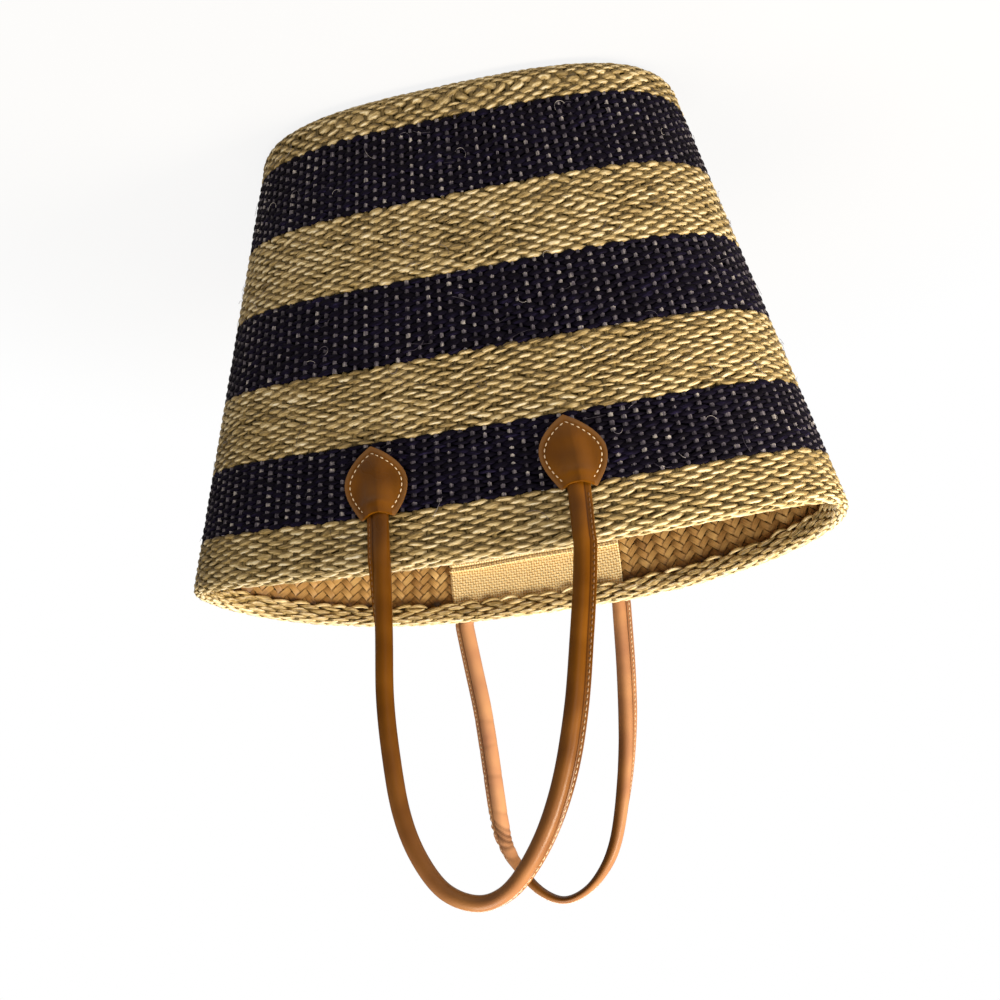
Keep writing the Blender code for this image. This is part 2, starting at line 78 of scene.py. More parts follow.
def point_camera():
    """Make the camera that looks at the basket as the photograph does."""
    bpy.ops.object.select_all(action="DESELECT")
    bpy.ops.object.camera_add()
    camera = bpy.context.object
    camera.name = "photo_camera"
    camera.data.sensor_width = 36
    camera.data.lens = FOCAL_PIXELS * camera.data.sensor_width / PICTURE_SIDE
    flat = math.cos(CAMERA_HEIGHT)
    back = Vector((math.sin(CAMERA_YAW) * flat, -math.cos(CAMERA_YAW) * flat, math.sin(CAMERA_HEIGHT)))
    level = Vector((0, 0, 1)).cross(back).normalized()
    upright = back.cross(level)
    right = level * math.cos(CAMERA_ROLL) + upright * math.sin(CAMERA_ROLL)
    up = upright * math.cos(CAMERA_ROLL) - level * math.sin(CAMERA_ROLL)
    turn = Matrix((right, up, back)).transposed()
    camera.matrix_world = Matrix.Translation(CAMERA_TARGET + back * CAMERA_DISTANCE) @ turn.to_4x4()
    bpy.context.scene.camera = camera
    print("camera", [round(value, 4) for value in camera.location], "lens", round(camera.data.lens, 2))


point_camera()

# %% [markdown]
# A material starts from what the real one is. Its colours are written as a painter would pick them,
# and one function turns them into the linear numbers that the shader works with. One more function
# adds a node with its settings and links, so that each material below reads as a short list.

# %% Helpers for materials


def linear(code):
    """An sRGB hex colour as linear red, green, blue and alpha."""
    parts = [int(code[place:place + 2], 16) / 255 for place in (1, 3, 5)]
    return (*[part / 12.92 if part <= 0.04045 else ((part + 0.055) / 1.055) ** 2.4 for part in parts], 1.0)


def add(material, kind, links=None, stops=None, **settings):
    """Add a node to a material, with its properties, its sockets' values or links, and its colour stops."""
    made = material.node_tree.nodes.new(kind)
    for name, value in settings.items():
        setattr(made, name, value)
    for socket, value in (links or {}).items():
        if isinstance(value, bpy.types.NodeSocket):
            material.node_tree.links.new(value, made.inputs[socket])
        else:
            made.inputs[socket].default_value = value
    if stops:
        elements = made.color_ramp.elements
        elements[0].position, elements[0].color = stops[0][0], linear(stops[0][1])
        elements[1].position, elements[1].color = stops[-1][0], linear(stops[-1][1])
        for place, colour in stops[1:-1]:
            elements.new(place).color = linear(colour)
    return made


def new_material(name, roughness, gloss=0.5):
    """A material with a Principled shader, whose constants are set on the shader itself."""
    material = bpy.data.materials.new(name)
    material.use_nodes = True
    shader = material.node_tree.nodes["Principled BSDF"]
    shader.inputs["Roughness"].default_value = roughness
    shader.inputs["Specular IOR Level"].default_value = gloss
    return material, shader


def feed(material, shader, **outputs):
    """Link outputs to the shader's own sockets."""
    for socket, output in outputs.items():
        material.node_tree.links.new(output, shader.inputs[socket.replace("_", " ").title()])


# %% [markdown]
# Hand-spun sisal is a bundle of long, glossy leaf fibres. Each stitch shows fine bright and dark
# streaks along the yarn, and every yarn has its own tone. The streaks follow a map that runs along each
# stitch. Real fibres are 0.2 mm thick, too fine for the picture, so the streaks are drawn 0.85 mm wide.

# %% Sisal
STREAK_LENGTH = 7 * MM
STREAK_WIDTH = 0.85 * MM


def add_streaks(material, width, length, detail, roughness):
    """Noise drawn out along a yarn or a strip of leaf, by its map of fibres."""
    along = add(material, "ShaderNodeUVMap", uv_map="Fibres")
    space = add(material, "ShaderNodeMapping", {
        "Vector": along.outputs["UV"], "Scale": (1 / width, 1 / length, 1.0)})
    streaks = add(material, "ShaderNodeTexNoise", {
        "Vector": space.outputs["Vector"], "Scale": 1.0, "Detail": detail, "Roughness": roughness})
    return streaks.outputs["Fac"]


def add_tones(material, streaks, share, stops):
    """Colour by each copy's own tone, mixed with a share of its streaks."""
    tone = add(material, "ShaderNodeAttribute", attribute_name="tone")
    part = add(material, "ShaderNodeMath", {0: streaks, 1: share}, operation="MULTIPLY")
    mixed = add(material, "ShaderNodeMath", {
        0: tone.outputs["Fac"], 1: 1 - share, 2: part.outputs["Value"]}, operation="MULTIPLY_ADD")
    colour = add(material, "ShaderNodeValToRGB", {"Fac": mixed.outputs["Value"]}, stops=stops)
    return colour.outputs["Color"]


def make_sisal(name, stops, roughness, gloss, fleck):
    """Twined sisal yarn in one dye, from its darkest to its lightest fibres."""
    material, shader = new_material(name, roughness, gloss)
    streaks = add_streaks(material, STREAK_WIDTH, STREAK_LENGTH, 3.0, 0.6)
    clear = add(material, "ShaderNodeMapRange", {"Value": streaks, "From Min": 0.3, "From Max": 0.7})
    colour = add_tones(material, clear.outputs["Result"], fleck, stops)
    bump = add(material, "ShaderNodeBump", {
        "Height": clear.outputs["Result"], "Strength": 0.6, "Distance": 0.3 * MM})
    feed(material, shader, base_color=colour, normal=bump.outputs["Normal"])
    return material


NATURAL_STOPS = (
    (0.18, "#4E3F1E"), (0.38, "#8A7342"), (0.55, "#BCA46E"), (0.72, "#E2D1A6"), (0.88, "#F8F1DA"))
NAVY_STOPS = ((0.25, "#05020C"), (0.50, "#0A0617"), (0.68, "#120D26"), (0.90, "#302A50"))
# The warps' colours are darker partly for their own fibre and stain and partly as painted shade.
WARP_SHADED_STOPS = ((0.25, "#4E4122"), (0.50, "#6E5C34"), (0.75, "#8F7A4A"))
STAINED_SHADED_STOPS = ((0.22, "#2A2632"), (0.42, "#4E4956"), (0.58, "#716C78"), (0.78, "#C6C0BC"))
natural_sisal = make_sisal("natural sisal, hand-spun", NATURAL_STOPS, 0.45, 0.5, 0.42)
navy_sisal = make_sisal("navy sisal, dyed", NAVY_STOPS, 0.68, 0.08, 0.45)
warp_sisal = make_sisal("sisal warp, undyed, with painted shade", WARP_SHADED_STOPS, 0.6, 0.3, 0.4)
stained_sisal = make_sisal("sisal warp, stained by the navy dye, with painted shade", STAINED_SHADED_STOPS, 0.6, 0.3, 0.4)

# %% [markdown]
# A few small tools serve every piece: to start it as a cut cylinder or a grid, to read and write the
# places of its points, to line up copies, to give each copy its own stretch of fibres and its own tone,
# to close and thicken it, and to settle it in the basket with its material.

# %% Tools for meshes


def smooth(value):
    """An ease from 0 to 1."""
    value = np.clip(value, 0.0, 1.0)
    return value * value * (3 - 2 * value)


def unit(vectors):
    """The same directions, with a length of 1."""
    return vectors / np.linalg.norm(vectors, axis=1)[:, None]


def running_length(points):
    """Distances along a line of points, from the first one to each."""
    return np.concatenate([[0.0], np.cumsum(np.linalg.norm(np.diff(points, axis=0), axis=1))])


def read_places(piece):
    """Places of the mesh's points."""
    values = np.empty(len(piece.data.vertices) * 3)
    piece.data.vertices.foreach_get("co", values)
    return values.reshape(-1, 3)


def write_places(piece, places):
    """Move the mesh's points."""
    piece.data.vertices.foreach_set("co", np.ascontiguousarray(places).ravel())
    piece.data.update()


def read_uv(piece):
    """The map's places, one for each face corner."""
    layer = piece.data.uv_layers[0]
    values = np.empty(len(layer.uv) * 2)
    layer.uv.foreach_get("vector", values)
    return values.reshape(-1, 2)


def write_uv(piece, name, places):
    """Name the map and set its places."""
    layer = piece.data.uv_layers[0]
    layer.name = name
    layer.uv.foreach_set("vector", np.ascontiguousarray(places).ravel())


def cut_cylinder(name, sides, radius, reach, cuts, turn=(0, QUARTER, 0), axis=(1, 0, 0)):
    """A cylinder that reaches to both sides of the origin, cut into rings at shares of its reach."""
    bpy.ops.object.select_all(action="DESELECT")
    bpy.ops.mesh.primitive_cylinder_add(vertices=sides, radius=radius, depth=2 * reach, rotation=turn)
    piece = bpy.context.object
    piece.name = piece.data.name = name
    bpy.ops.object.transform_apply(location=True, rotation=True, scale=True)
    bpy.ops.object.mode_set(mode="EDIT")
    bpy.ops.mesh.select_mode(type="VERT")
    for share in cuts:
        bpy.ops.mesh.select_all(action="SELECT")
        bpy.ops.mesh.bisect(plane_co=[share * reach * part for part in axis], plane_no=axis)
    bpy.ops.object.mode_set(mode="OBJECT")
    return piece


def start_grid(name, columns, rows):
    """A flat grid a metre wide and long, and the places of its points."""
    bpy.ops.object.select_all(action="DESELECT")
    bpy.ops.mesh.primitive_grid_add(x_subdivisions=columns, y_subdivisions=rows, size=1.0)
    piece = bpy.context.object
    piece.name = piece.data.name = name
    return piece, read_places(piece)


def close_up(gap, fill=False):
    """Merge the new piece's points that are nearer than a gap, fill its ends, and face it outwards."""
    bpy.ops.object.mode_set(mode="EDIT")
    bpy.ops.mesh.select_all(action="SELECT")
    bpy.ops.mesh.remove_doubles(threshold=gap)
    if fill:
        bpy.ops.mesh.select_all(action="DESELECT")
        bpy.ops.mesh.select_mode(type="EDGE")
        bpy.ops.mesh.select_non_manifold()
        bpy.ops.mesh.fill_holes(sides=0)
        bpy.ops.mesh.select_all(action="SELECT")
    bpy.ops.mesh.normals_make_consistent(inside=False)
    bpy.ops.object.mode_set(mode="OBJECT")


def thicken(piece, thickness, offset=0.0):
    """Give a surface its thickness, half to each side, or all inwards with an offset of -1."""
    solid = piece.modifiers.new("thickness", "SOLIDIFY")
    solid.thickness = thickness
    solid.offset = offset


def repeat(piece, count, step):
    """Copy a piece along a step, so that it has count copies in all."""
    bpy.context.view_layer.objects.active = piece
    array = piece.modifiers.new("copies", "ARRAY")
    array.count = count
    array.use_relative_offset = False
    array.use_constant_offset = True
    array.constant_offset_displace = step
    bpy.ops.object.modifier_apply(modifier=array.name)


def multiply(piece, count):
    """Line up copies a metre apart, and give every copy's points as if it were the first."""
    per_copy = len(piece.data.vertices)
    repeat(piece, count, (1, 0, 0))
    local = read_places(piece).reshape(count, per_copy, 3)
    local[:, :, 0] -= np.arange(count)[:, None]
    return local


def set_points(piece, name, values):
    """Write an attribute with one value for each point."""
    attribute = piece.data.attributes.new(name, "FLOAT", "POINT")
    attribute.data.foreach_set("value", np.ascontiguousarray(values, dtype=np.float32).ravel())


def set_tone(piece, tone):
    """Give each copy one tone."""
    set_points(piece, "tone", np.repeat(tone, len(piece.data.vertices) // len(tone)))


def measure_fibres(piece, across, along):
    """Map each copy by its size in metres across and along the fibres, starting at a random place."""
    start = chance.random((len(across), 1, 2))
    chart = np.stack([across, along], axis=-1) + start
    corners = np.empty(len(piece.data.loops), dtype=np.int32)
    piece.data.loops.foreach_get("vertex_index", corners)
    write_uv(piece, "Fibres", chart.reshape(-1, 2)[corners])


def drop_copies(piece, unwanted):
    """Delete the copies that are marked."""
    per_copy = len(piece.data.vertices) // len(unwanted)
    marks = np.repeat(unwanted, per_copy)
    bpy.context.view_layer.objects.active = piece
    bpy.ops.object.mode_set(mode="EDIT")
    bpy.ops.mesh.select_mode(type="VERT")
    bpy.ops.mesh.select_all(action="DESELECT")
    bpy.ops.object.mode_set(mode="OBJECT")
    piece.data.vertices.foreach_set("select", marks)
    bpy.ops.object.mode_set(mode="EDIT")
    bpy.ops.mesh.delete(type="VERT")
    bpy.ops.object.mode_set(mode="OBJECT")


def settle(piece, material, slot_name, *nodes, body="basket"):
    """Give a piece its material, hide the solids it replaces, attach it to its body; slot_name is not used.
    """
    piece.data.materials.clear()
    piece.data.materials.append(material)
    if nodes:
        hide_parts(*nodes)
    if body:
        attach(piece, body)
    print(piece.name, len(piece.data.polygons), "faces")


# %% [markdown]
# The woven wall is one curved surface, from the middle of the floor, round the edge, up the side, over
# the rim and down inside as a hem. A place on it has three measures: the share of the way round, the
# distance along its section from the foot of the side, and the height over the surface. The rule that
# turns them into a point in space repeats the rule and the sizes of the solids, so that yarn laid
# with it lies where the solid wall is.

# %% Shape of the wall
MOUTH_LENGTH = 400.0 * MM
MOUTH_WIDTH = 173.4 * MM
BASE_LENGTH = 280.0 * MM
BASE_WIDTH = 155.4 * MM
END_HEIGHT = 289.7 * MM
RIM_RISE = 18.0 * MM
BASE_EDGE_RADIUS = 12.7 * MM
BASE_SQUARENESS = 2.89
MOUTH_SQUARENESS = 2.49
RISE_GROWTH = 0.35
RIM_THICKNESS = 9.1 * MM
HEM_DEPTH = 11.5 * MM
SIDE_HEIGHT = END_HEIGHT - BASE_EDGE_RADIUS
FOLD_RADIUS = RIM_THICKNESS / 2
SHOULDER = SIDE_HEIGHT - FOLD_RADIUS
EDGE_ARC = BASE_EDGE_RADIUS * QUARTER
FOLD_ARC = FOLD_RADIUS * math.pi
HEM_END = SHOULDER + FOLD_ARC + HEM_DEPTH - FOLD_RADIUS
FLOOR_REACH = 63.4 * MM


def side_share(level):
    """Share of the side's height at a level."""
    return np.clip((level - BASE_EDGE_RADIUS) / SIDE_HEIGHT, 0.0, 1.0)


def signed_power(value, power):
    """A power that keeps the sign."""
    return np.sign(value) * np.abs(value) ** power


def oval(share):
    """Half length, half width and squareness of the wall's oval, at a share of the side's height."""
    half_length = (BASE_LENGTH + (MOUTH_LENGTH - BASE_LENGTH) * share) / 2
    half_width = (BASE_WIDTH + (MOUTH_WIDTH - BASE_WIDTH) * share) / 2
    return half_length, half_width, BASE_SQUARENESS + (MOUTH_SQUARENESS - BASE_SQUARENESS) * share


def wall(angle, level, inset):
    """Points at angles round the basket, at a level and set in from the outside."""
    share = side_share(level)
    half_length, half_width, squareness = oval(share)
    x = (half_length - inset) * signed_power(np.cos(angle), 2 / squareness)
    y = (half_width - inset) * signed_power(np.sin(angle), 2 / squareness)
    z = level + RIM_RISE * share ** RISE_GROWTH * np.sin(angle) ** 2
    return np.stack([x, y, z], axis=-1)


def section(path):
    """Inset, level and outward direction at distances along the wall's section."""
    foot = np.clip(-path / BASE_EDGE_RADIUS, 0, QUARTER)
    fold = np.clip((path - SHOULDER) / FOLD_RADIUS, 0, math.pi)
    under = np.maximum(-path - EDGE_ARC, 0)
    inside = np.maximum(path - SHOULDER - FOLD_ARC, 0)
    straight = np.clip(path, 0, SHOULDER)
    inset = BASE_EDGE_RADIUS * (1 - np.cos(foot)) + under + FOLD_RADIUS * (1 - np.cos(fold))
    level = BASE_EDGE_RADIUS * (1 - np.sin(foot)) + straight + FOLD_RADIUS * np.sin(fold) - inside
    return inset, level, -np.cos(foot) * np.cos(fold), np.sin(fold) - np.sin(foot)


# %% [markdown]
# Yarns are spaced evenly by length, but the rule above runs by angle. So a table is made once: for many
# sections it walks round the basket, adds up the lengths, and notes the angle at each even share. The
# share runs from the middle of the front, past the end at +X, to the back and round again.

# %% Even steps round the basket
PATHS = np.linspace(-EDGE_ARC - FLOOR_REACH, HEM_END + 4 * MM, 112)
SHARES = np.linspace(0, 1, 1441)
SPREAD = np.linspace(-QUARTER, 3 * QUARTER, 2881)


def ring_length(angles, path):
    """Lengths from the first angle to each one, along a ring."""
    inset, level, _, _ = section(np.full_like(angles, path))
    return running_length(wall(angles, level, inset))


def even_angles(path):
    """Angles at even shares of a ring."""
    lengths = ring_length(SPREAD, path)
    return np.interp(SHARES, lengths / lengths[-1], SPREAD)


ANGLES = np.array([even_angles(path) for path in PATHS])


def angle_at(share, path):
    """Angle at a share of the way round, from the table."""
    across = (share % 1.0) * (len(SHARES) - 1)
    up = np.clip((path - PATHS[0]) / (PATHS[1] - PATHS[0]), 0, len(PATHS) - 1.001)
    column = np.minimum(across.astype(int), len(SHARES) - 2)
    row = up.astype(int)
    right = across - column
    above = up - row
    low = ANGLES[row, column] * (1 - right) + ANGLES[row, column + 1] * right
    high = ANGLES[row + 1, column] * (1 - right) + ANGLES[row + 1, column + 1] * right
    return low * (1 - above) + high * above


def laid(share, path, out):
    """Points at a share round, a distance along the section and a height over the surface."""
    inset, level, lean_in, lean_up = section(path)
    return wall(angle_at(share, path), level + out * lean_up, inset + out * lean_in)


_, rim_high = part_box("weft_natural_top")
rim_by_rule = laid(np.array([0.0]), np.array([SHOULDER + FOLD_ARC / 2]), np.array([0.0]))
print("rim height in the solids and by the rule", round(rim_high.z, 4), round(float(rim_by_rule[0, 2]), 4))

# %% [markdown]
# In a kiondo the weft covers the warps: each row passes over one upright cord and behind the next, and
# the next row does the opposite. So the face is made of short bulging stitches in a brick pattern.
# One stitch is modelled: a six-sided cylinder is cut into rings with bisect, and each ring is
# then swollen, squeezed and pushed back, until the stitch is a lens that dives at both ends.

# %% One stitch
COLUMNS = 130
COLUMN_PITCH = 6.9 * MM
ROW_PITCH = 2.65 * MM
YARN_SIDES = 6
STITCH_REACH = COLUMN_PITCH
# For each dye: the least and most warp that shows between stitches in mm, the tone, and the strength of
# the painted highlight along the top of each stitch and the painted shade under it.
YARNS = {
    "natural": {"material": natural_sisal, "show": (0.0, 1.0), "tone": 0.39, "painted_crest_shading": 0.68},
    "navy": {"material": navy_sisal, "show": (0.4, 3.2), "tone": 0.44, "painted_crest_shading": 0.16},
}
BACK_DEPTH = -3.1 * MM
HEM_BACK_DEPTH = -2.3 * MM
BACK_THICKNESS = 0.2 * MM
BACK_STEP = 5 * MM
# The back layer's low tone is painted shade in the gaps between stitches.
BACK_SHADED_TONE = 0.15
RING_SHARES = (-1.0, -0.72, -0.36, 0.0, 0.36, 0.72, 1.0)
RING_HEIGHTS = (0.50, 0.78, 0.96, 1.0, 0.96, 0.78, 0.50)
RING_DEPTHS = (-2.40, -1.75, -1.08, -0.88, -1.08, -1.75, -2.40)
RING_FLATNESS = 0.55
STITCH_HALF_HEIGHT = 1.72 * MM
STITCH_HALF_THICKNESS = 0.86 * MM
# Place, slant and fade towards the ends of the painted highlight along each stitch's top side.
HIGHLIGHT_PLACE = 0.38
HIGHLIGHT_SLANT = 0.12
HIGHLIGHT_FADE = 2.3
FIBRE_SLANT = 0.14
STITCH_TILT = 0.01


def pick(piece, rule):
    """In edit mode, select the vertices that a rule picks by place."""
    bpy.ops.mesh.select_all(action="DESELECT")
    bpy.ops.object.mode_set(mode="OBJECT")
    for vertex in piece.data.vertices:
        vertex.select = bool(rule(vertex.co))
    bpy.ops.object.mode_set(mode="EDIT")


def make_stitch(name):
    """Model one stitch over one warp, with its middle on the origin."""
    stitch = cut_cylinder(name, YARN_SIDES, 1.0, STITCH_REACH, RING_SHARES[1:-1])
    bpy.ops.object.mode_set(mode="EDIT")
    for share, height, depth in zip(RING_SHARES, RING_HEIGHTS, RING_DEPTHS):
        centre = share * STITCH_REACH
        pick(stitch, lambda place: abs(place.x - centre) < 0.1 * MM)
        thickness = STITCH_HALF_THICKNESS * (RING_FLATNESS + (1 - RING_FLATNESS) * height)
        bpy.ops.transform.resize(value=(1, STITCH_HALF_HEIGHT * height, thickness))
        bpy.ops.transform.translate(value=(0, 0, depth * MM))
    bpy.ops.object.mode_set(mode="OBJECT")
    bpy.ops.object.shade_smooth()
    return stitch


def make_flat_cloth(name, columns, rows):
    """A flat cloth of stitches, where neighbouring rows are a column apart."""
    cloth = make_stitch(name)
    repeat(cloth, 2, (COLUMN_PITCH, ROW_PITCH, 0))
    repeat(cloth, columns // 2, (2 * COLUMN_PITCH, 0, 0))
    repeat(cloth, rows // 2, (0, 2 * ROW_PITCH, 0))
    return cloth


# %% [markdown]
# Yarn spun by hand is never even. So each column of the warp has its own width, which changes slowly
# from row to row, and the stitches end where the warp shows. Columns wander a little, rows sway, and
# stitches differ in height and tilt. Every stitch also gets a tone, mostly its row's, because one yarn
# makes many stitches, and a painted highlight along its top side, where light from above falls, with
# painted shade below it. The rim and hem are paler, partly worn by hands and partly painted light, and
# the top of the fold has a painted highlight. All of it is drawn from one seeded generator, so each run
# is the same.

# %% Uneven handwork
FAT_SPREAD = 0.14
TILT_SPREAD = 0.085
BEND_SPREAD = 0.40 * MM
LIFT_SPREAD = 0.12 * MM
GAP_SPREAD = 0.45
COLUMN_WANDER = 0.45 * MM
ROW_SWAY = 0.35 * MM
STITCH_SWAY = 0.10 * MM
ROW_TONE = 0.04
PATCH_TONE = 0.07
STITCH_TONE = 0.09
# How sharp the painted highlight is; below it the same value paints shade.
HIGHLIGHT_SHARPNESS = 1.8
# Paler rim and hem, partly wear and partly painted light, and a painted highlight on the top of the fold.
RIM_WEAR_AND_LIGHT = 0.13
FOLD_WEAR_AND_HIGHLIGHT = 0.38


def slow_noise(rows, columns, row_step, column_step):
    """Random values that change slowly over a table of rows and columns, which closes on itself."""
    coarse = chance.normal(size=(rows // row_step + 3, columns // column_step))
    across = np.arange(columns) / columns * coarse.shape[1]
    column = across.astype(int)
    part = smooth(across - column)
    wide = coarse[:, column] * (1 - part) + coarse[:, (column + 1) % coarse.shape[1]] * part
    up = np.arange(rows) / row_step
    row = up.astype(int)
    part = (up - row)[:, None]
    return wide[row] * (1 - part) + wide[row + 1] * part


def weave(name, start, end, rows, yarn, columns=COLUMNS):
    """Weave rows of stitches round the basket, from one distance along the section to another."""
    facts = YARNS[yarn]
    cloth = make_flat_cloth(name, columns, rows)
    count = columns * rows // 2
    number = np.arange(count)
    row = 2 * (number // columns) + number % 2
    column = 2 * (number % columns // 2) + number % 2
    local = read_places(cloth).reshape(count, -1, 3)
    local = local - np.stack([column * COLUMN_PITCH, row * ROW_PITCH, 0 * row], axis=-1)[:, None, :]
    measure_fibres(cloth, local[:, :, 1] - FIBRE_SLANT * local[:, :, 0], local[:, :, 0])
    # Painted highlight along the top side of each stitch, where light from above falls, and painted shade
    # under it, fading towards the ends.
    part = local[:, :, 0] / STITCH_REACH
    from_highlight = np.abs(local[:, :, 1] / STITCH_HALF_HEIGHT - HIGHLIGHT_PLACE - HIGHLIGHT_SLANT * part)
    painted_crest_shading = np.clip(1 - HIGHLIGHT_SHARPNESS * from_highlight, -0.35, 1)
    painted_crest_shading *= np.maximum(0, 1 - HIGHLIGHT_FADE * part ** 2)

    low, high = facts["show"]
    gap = low + (high - low) * chance.random(columns)[None, :] ** 1.6
    gap = np.clip(gap + GAP_SPREAD * slow_noise(rows, columns, 4, columns), low * 0.7, high * 1.15) * MM
    left = 1 - gap[row, (column - 1) % columns] / 2 / COLUMN_PITCH
    right = 1 - gap[row, (column + 1) % columns] / 2 / COLUMN_PITCH
    local[:, :, 0] *= np.where(local[:, :, 0] < 0, left[:, None], right[:, None])
    local[:, :, 1] *= (1 + FAT_SPREAD * chance.normal(size=count))[:, None]
    local[:, :, 1] += local[:, :, 0] * (STITCH_TILT + TILT_SPREAD * chance.normal(size=count))[:, None]
    bend = BEND_SPREAD * chance.normal(size=count)[:, None]
    local[:, :, 1] += bend * (local[:, :, 0] / STITCH_REACH) ** 2
    local[:, :, 2] += (LIFT_SPREAD * np.minimum(chance.normal(size=count), 0.4))[:, None]

    wander = COLUMN_WANDER * slow_noise(rows, columns, 9, 4)[row, column]
    sway = ROW_SWAY * slow_noise(rows, columns, 6, 9)[row, column]
    sway += STITCH_SWAY * chance.normal(size=count)
    pitch = (end - start) / rows
    share = (column[:, None] * COLUMN_PITCH + local[:, :, 0] + wander[:, None]) / (columns * COLUMN_PITCH)
    path = start + (row[:, None] + 0.5) * pitch + sway[:, None] + local[:, :, 1] * pitch / ROW_PITCH
    write_places(cloth, laid(share.ravel(), path.ravel(), local[:, :, 2].ravel()))

    row_tone = ROW_TONE * chance.normal(size=rows)[row]
    row_tone += PATCH_TONE * slow_noise(rows, columns, 3, 5)[row, column]
    # Paler rim and hem, partly wear and partly painted light, brightest as a painted highlight on the fold.
    over_shoulder = start + (row + 0.5) * pitch - SHOULDER
    rim_wear_and_painted_light = RIM_WEAR_AND_LIGHT * smooth((over_shoulder + FOLD_RADIUS) / FOLD_ARC * 2)
    rim_wear_and_painted_light += FOLD_WEAR_AND_HIGHLIGHT * np.exp(-((over_shoulder - FOLD_ARC * 0.5) / FOLD_RADIUS) ** 2)
    tone = facts["tone"] + rim_wear_and_painted_light + row_tone + STITCH_TONE * chance.normal(size=count)
    # Each stitch's painted highlight has its own strength.
    painted_highlight_strength = np.clip(1 + 0.4 * chance.normal(size=count), 0.2, 1.9) * facts["painted_crest_shading"]
    set_points(cloth, "tone", np.clip(tone[:, None] + painted_highlight_strength[:, None] * painted_crest_shading, 0.0, 1.0))
    return cloth


def make_back(name, start, end, yarn, depth=BACK_DEPTH):
    """The back halves of the same yarn, seen only in the gaps between stitches, toned dark as painted
    shade.
    """
    rows = max(3, round(abs(end - start) / BACK_STEP))
    back, grid = start_grid(name, COLUMNS, rows)
    share, path = grid[:, 0] + 0.5, start + (grid[:, 1] + 0.5) * (end - start)
    measure_fibres(back, path[None, :], share[None, :] * COLUMNS * COLUMN_PITCH)
    set_points(back, "tone", np.full(len(grid), BACK_SHADED_TONE))
    write_places(back, laid(share, path, np.full(len(grid), depth)))
    close_up(0.01 * MM)
    thicken(back, BACK_THICKNESS, -1.0)
    bpy.ops.object.shade_smooth()
    settle(back, YARNS[yarn]["material"], f"{yarn}_sisal")


# %% [markdown]
# The stripes follow the solids' own levels: eighteen rows to a stripe, as counted in the photograph.

# %% Stripes
STRIPE_SHARES = (0.037, 0.214, 0.390, 0.569, 0.733, 0.884)
STRIPE_PATHS = [SIDE_HEIGHT * share for share in STRIPE_SHARES]
STRIPE_ROWS = 18
BAND_LIMITS = [-EDGE_ARC, *STRIPE_PATHS, HEM_END]
BANDS = (
    ("base_weave", "natural", 12), ("weft_navy_low", "navy", STRIPE_ROWS),
    ("weft_natural_low", "natural", STRIPE_ROWS), ("weft_navy_middle", "navy", STRIPE_ROWS),
    ("weft_natural_middle", "natural", STRIPE_ROWS), ("weft_navy_top", "navy", STRIPE_ROWS),
    ("weft_natural_top", "natural", 20),
)
for (node_name, yarn, rows), start, end in zip(BANDS, BAND_LIMITS, BAND_LIMITS[1:]):
    band = weave(f"{node_name}_stitches", start, end, rows, yarn)
    settle(band, YARNS[yarn]["material"], f"{yarn}_sisal", node_name)
    make_back(f"{node_name}_back", start, min(end, SHOULDER), yarn)
make_back("hem_back", SHOULDER, HEM_END - 1 * MM, "natural", HEM_BACK_DEPTH)

# %% [markdown]
# Behind the stitches run the warps: stiff upright cords, undyed and dull. They show between the navy
# stitches as pale dots. Each is a thin cylinder that bisect cuts into rings, so that it can be wrapped
# with the same rule as the stitches. Where it runs behind navy yarn, its dye has stained it. Both kinds
# of warp are coloured darker partly for their own fibre and stain and partly as painted shade of their
# recess between the stitches.

# %% Warps
WARP_RADIUS = 1.45 * MM
WARP_DEPTH = -1.75 * MM
WARP_STEPS = 18
WARP_WIDTH_SPREAD = 0.12
WARP_FLATNESS = 0.8
WARP_TONE = 0.45
WARP_TONE_SPREAD = 0.1
WARP_RING_SPREAD = 0.22


def make_warps(name, spans, material):
    """Upright cords, one to a column, over spans of the section."""
    cuts = 2 * np.arange(1, WARP_STEPS) / WARP_STEPS - 1
    warps = cut_cylinder(name, 6, WARP_RADIUS, 0.5, cuts, turn=(QUARTER, 0, 0), axis=(0, 1, 0))
    local = multiply(warps, COLUMNS * len(spans))
    starts, ends = np.repeat(np.transpose(spans), COLUMNS, axis=1)[:, :, None]
    column = np.tile(np.arange(COLUMNS), len(spans))[:, None]
    path = starts + (local[:, :, 1] + 0.5) * (ends - starts)
    measure_fibres(warps, local[:, :, 0], path)
    wide = 1 + WARP_WIDTH_SPREAD * chance.normal(size=(COLUMNS, 1))[column[:, 0]]
    across = column + local[:, :, 0] * wide / COLUMN_PITCH
    out = WARP_DEPTH + local[:, :, 2] * WARP_FLATNESS
    write_places(warps, laid((across / COLUMNS).ravel(), path.ravel(), out.ravel()))
    ring = np.rint((local[0, :, 1] + 0.5) * WARP_STEPS).astype(int)
    ring_tone = WARP_RING_SPREAD * chance.normal(size=(len(column), WARP_STEPS + 1))[:, ring]
    tone = WARP_TONE + WARP_TONE_SPREAD * chance.normal(size=column.shape) + ring_tone
    set_points(warps, "tone", np.clip(tone, 0, 1))
    bpy.ops.object.shade_smooth()
    settle(warps, material, "natural_sisal")


WARP_LIMITS = [*BAND_LIMITS[:-1], SHOULDER + FOLD_ARC]
WARP_SPANS = list(zip(WARP_LIMITS, WARP_LIMITS[1:]))
make_warps("warps_in_natural", WARP_SPANS[0::2], warp_sisal)
make_warps("warps_in_navy", WARP_SPANS[1::2], stained_sisal)

# %% [markdown]
# Hand-spun yarn sheds: single fibres work loose, curl and stand off the weave, and show best against the
# navy. One thin three-sided hair is cut into rings, then each copy is curled and laid on the wall with
# one end in the yarn. They are as thick as a real fibre, about 0.2 mm, and there are fewer of them.

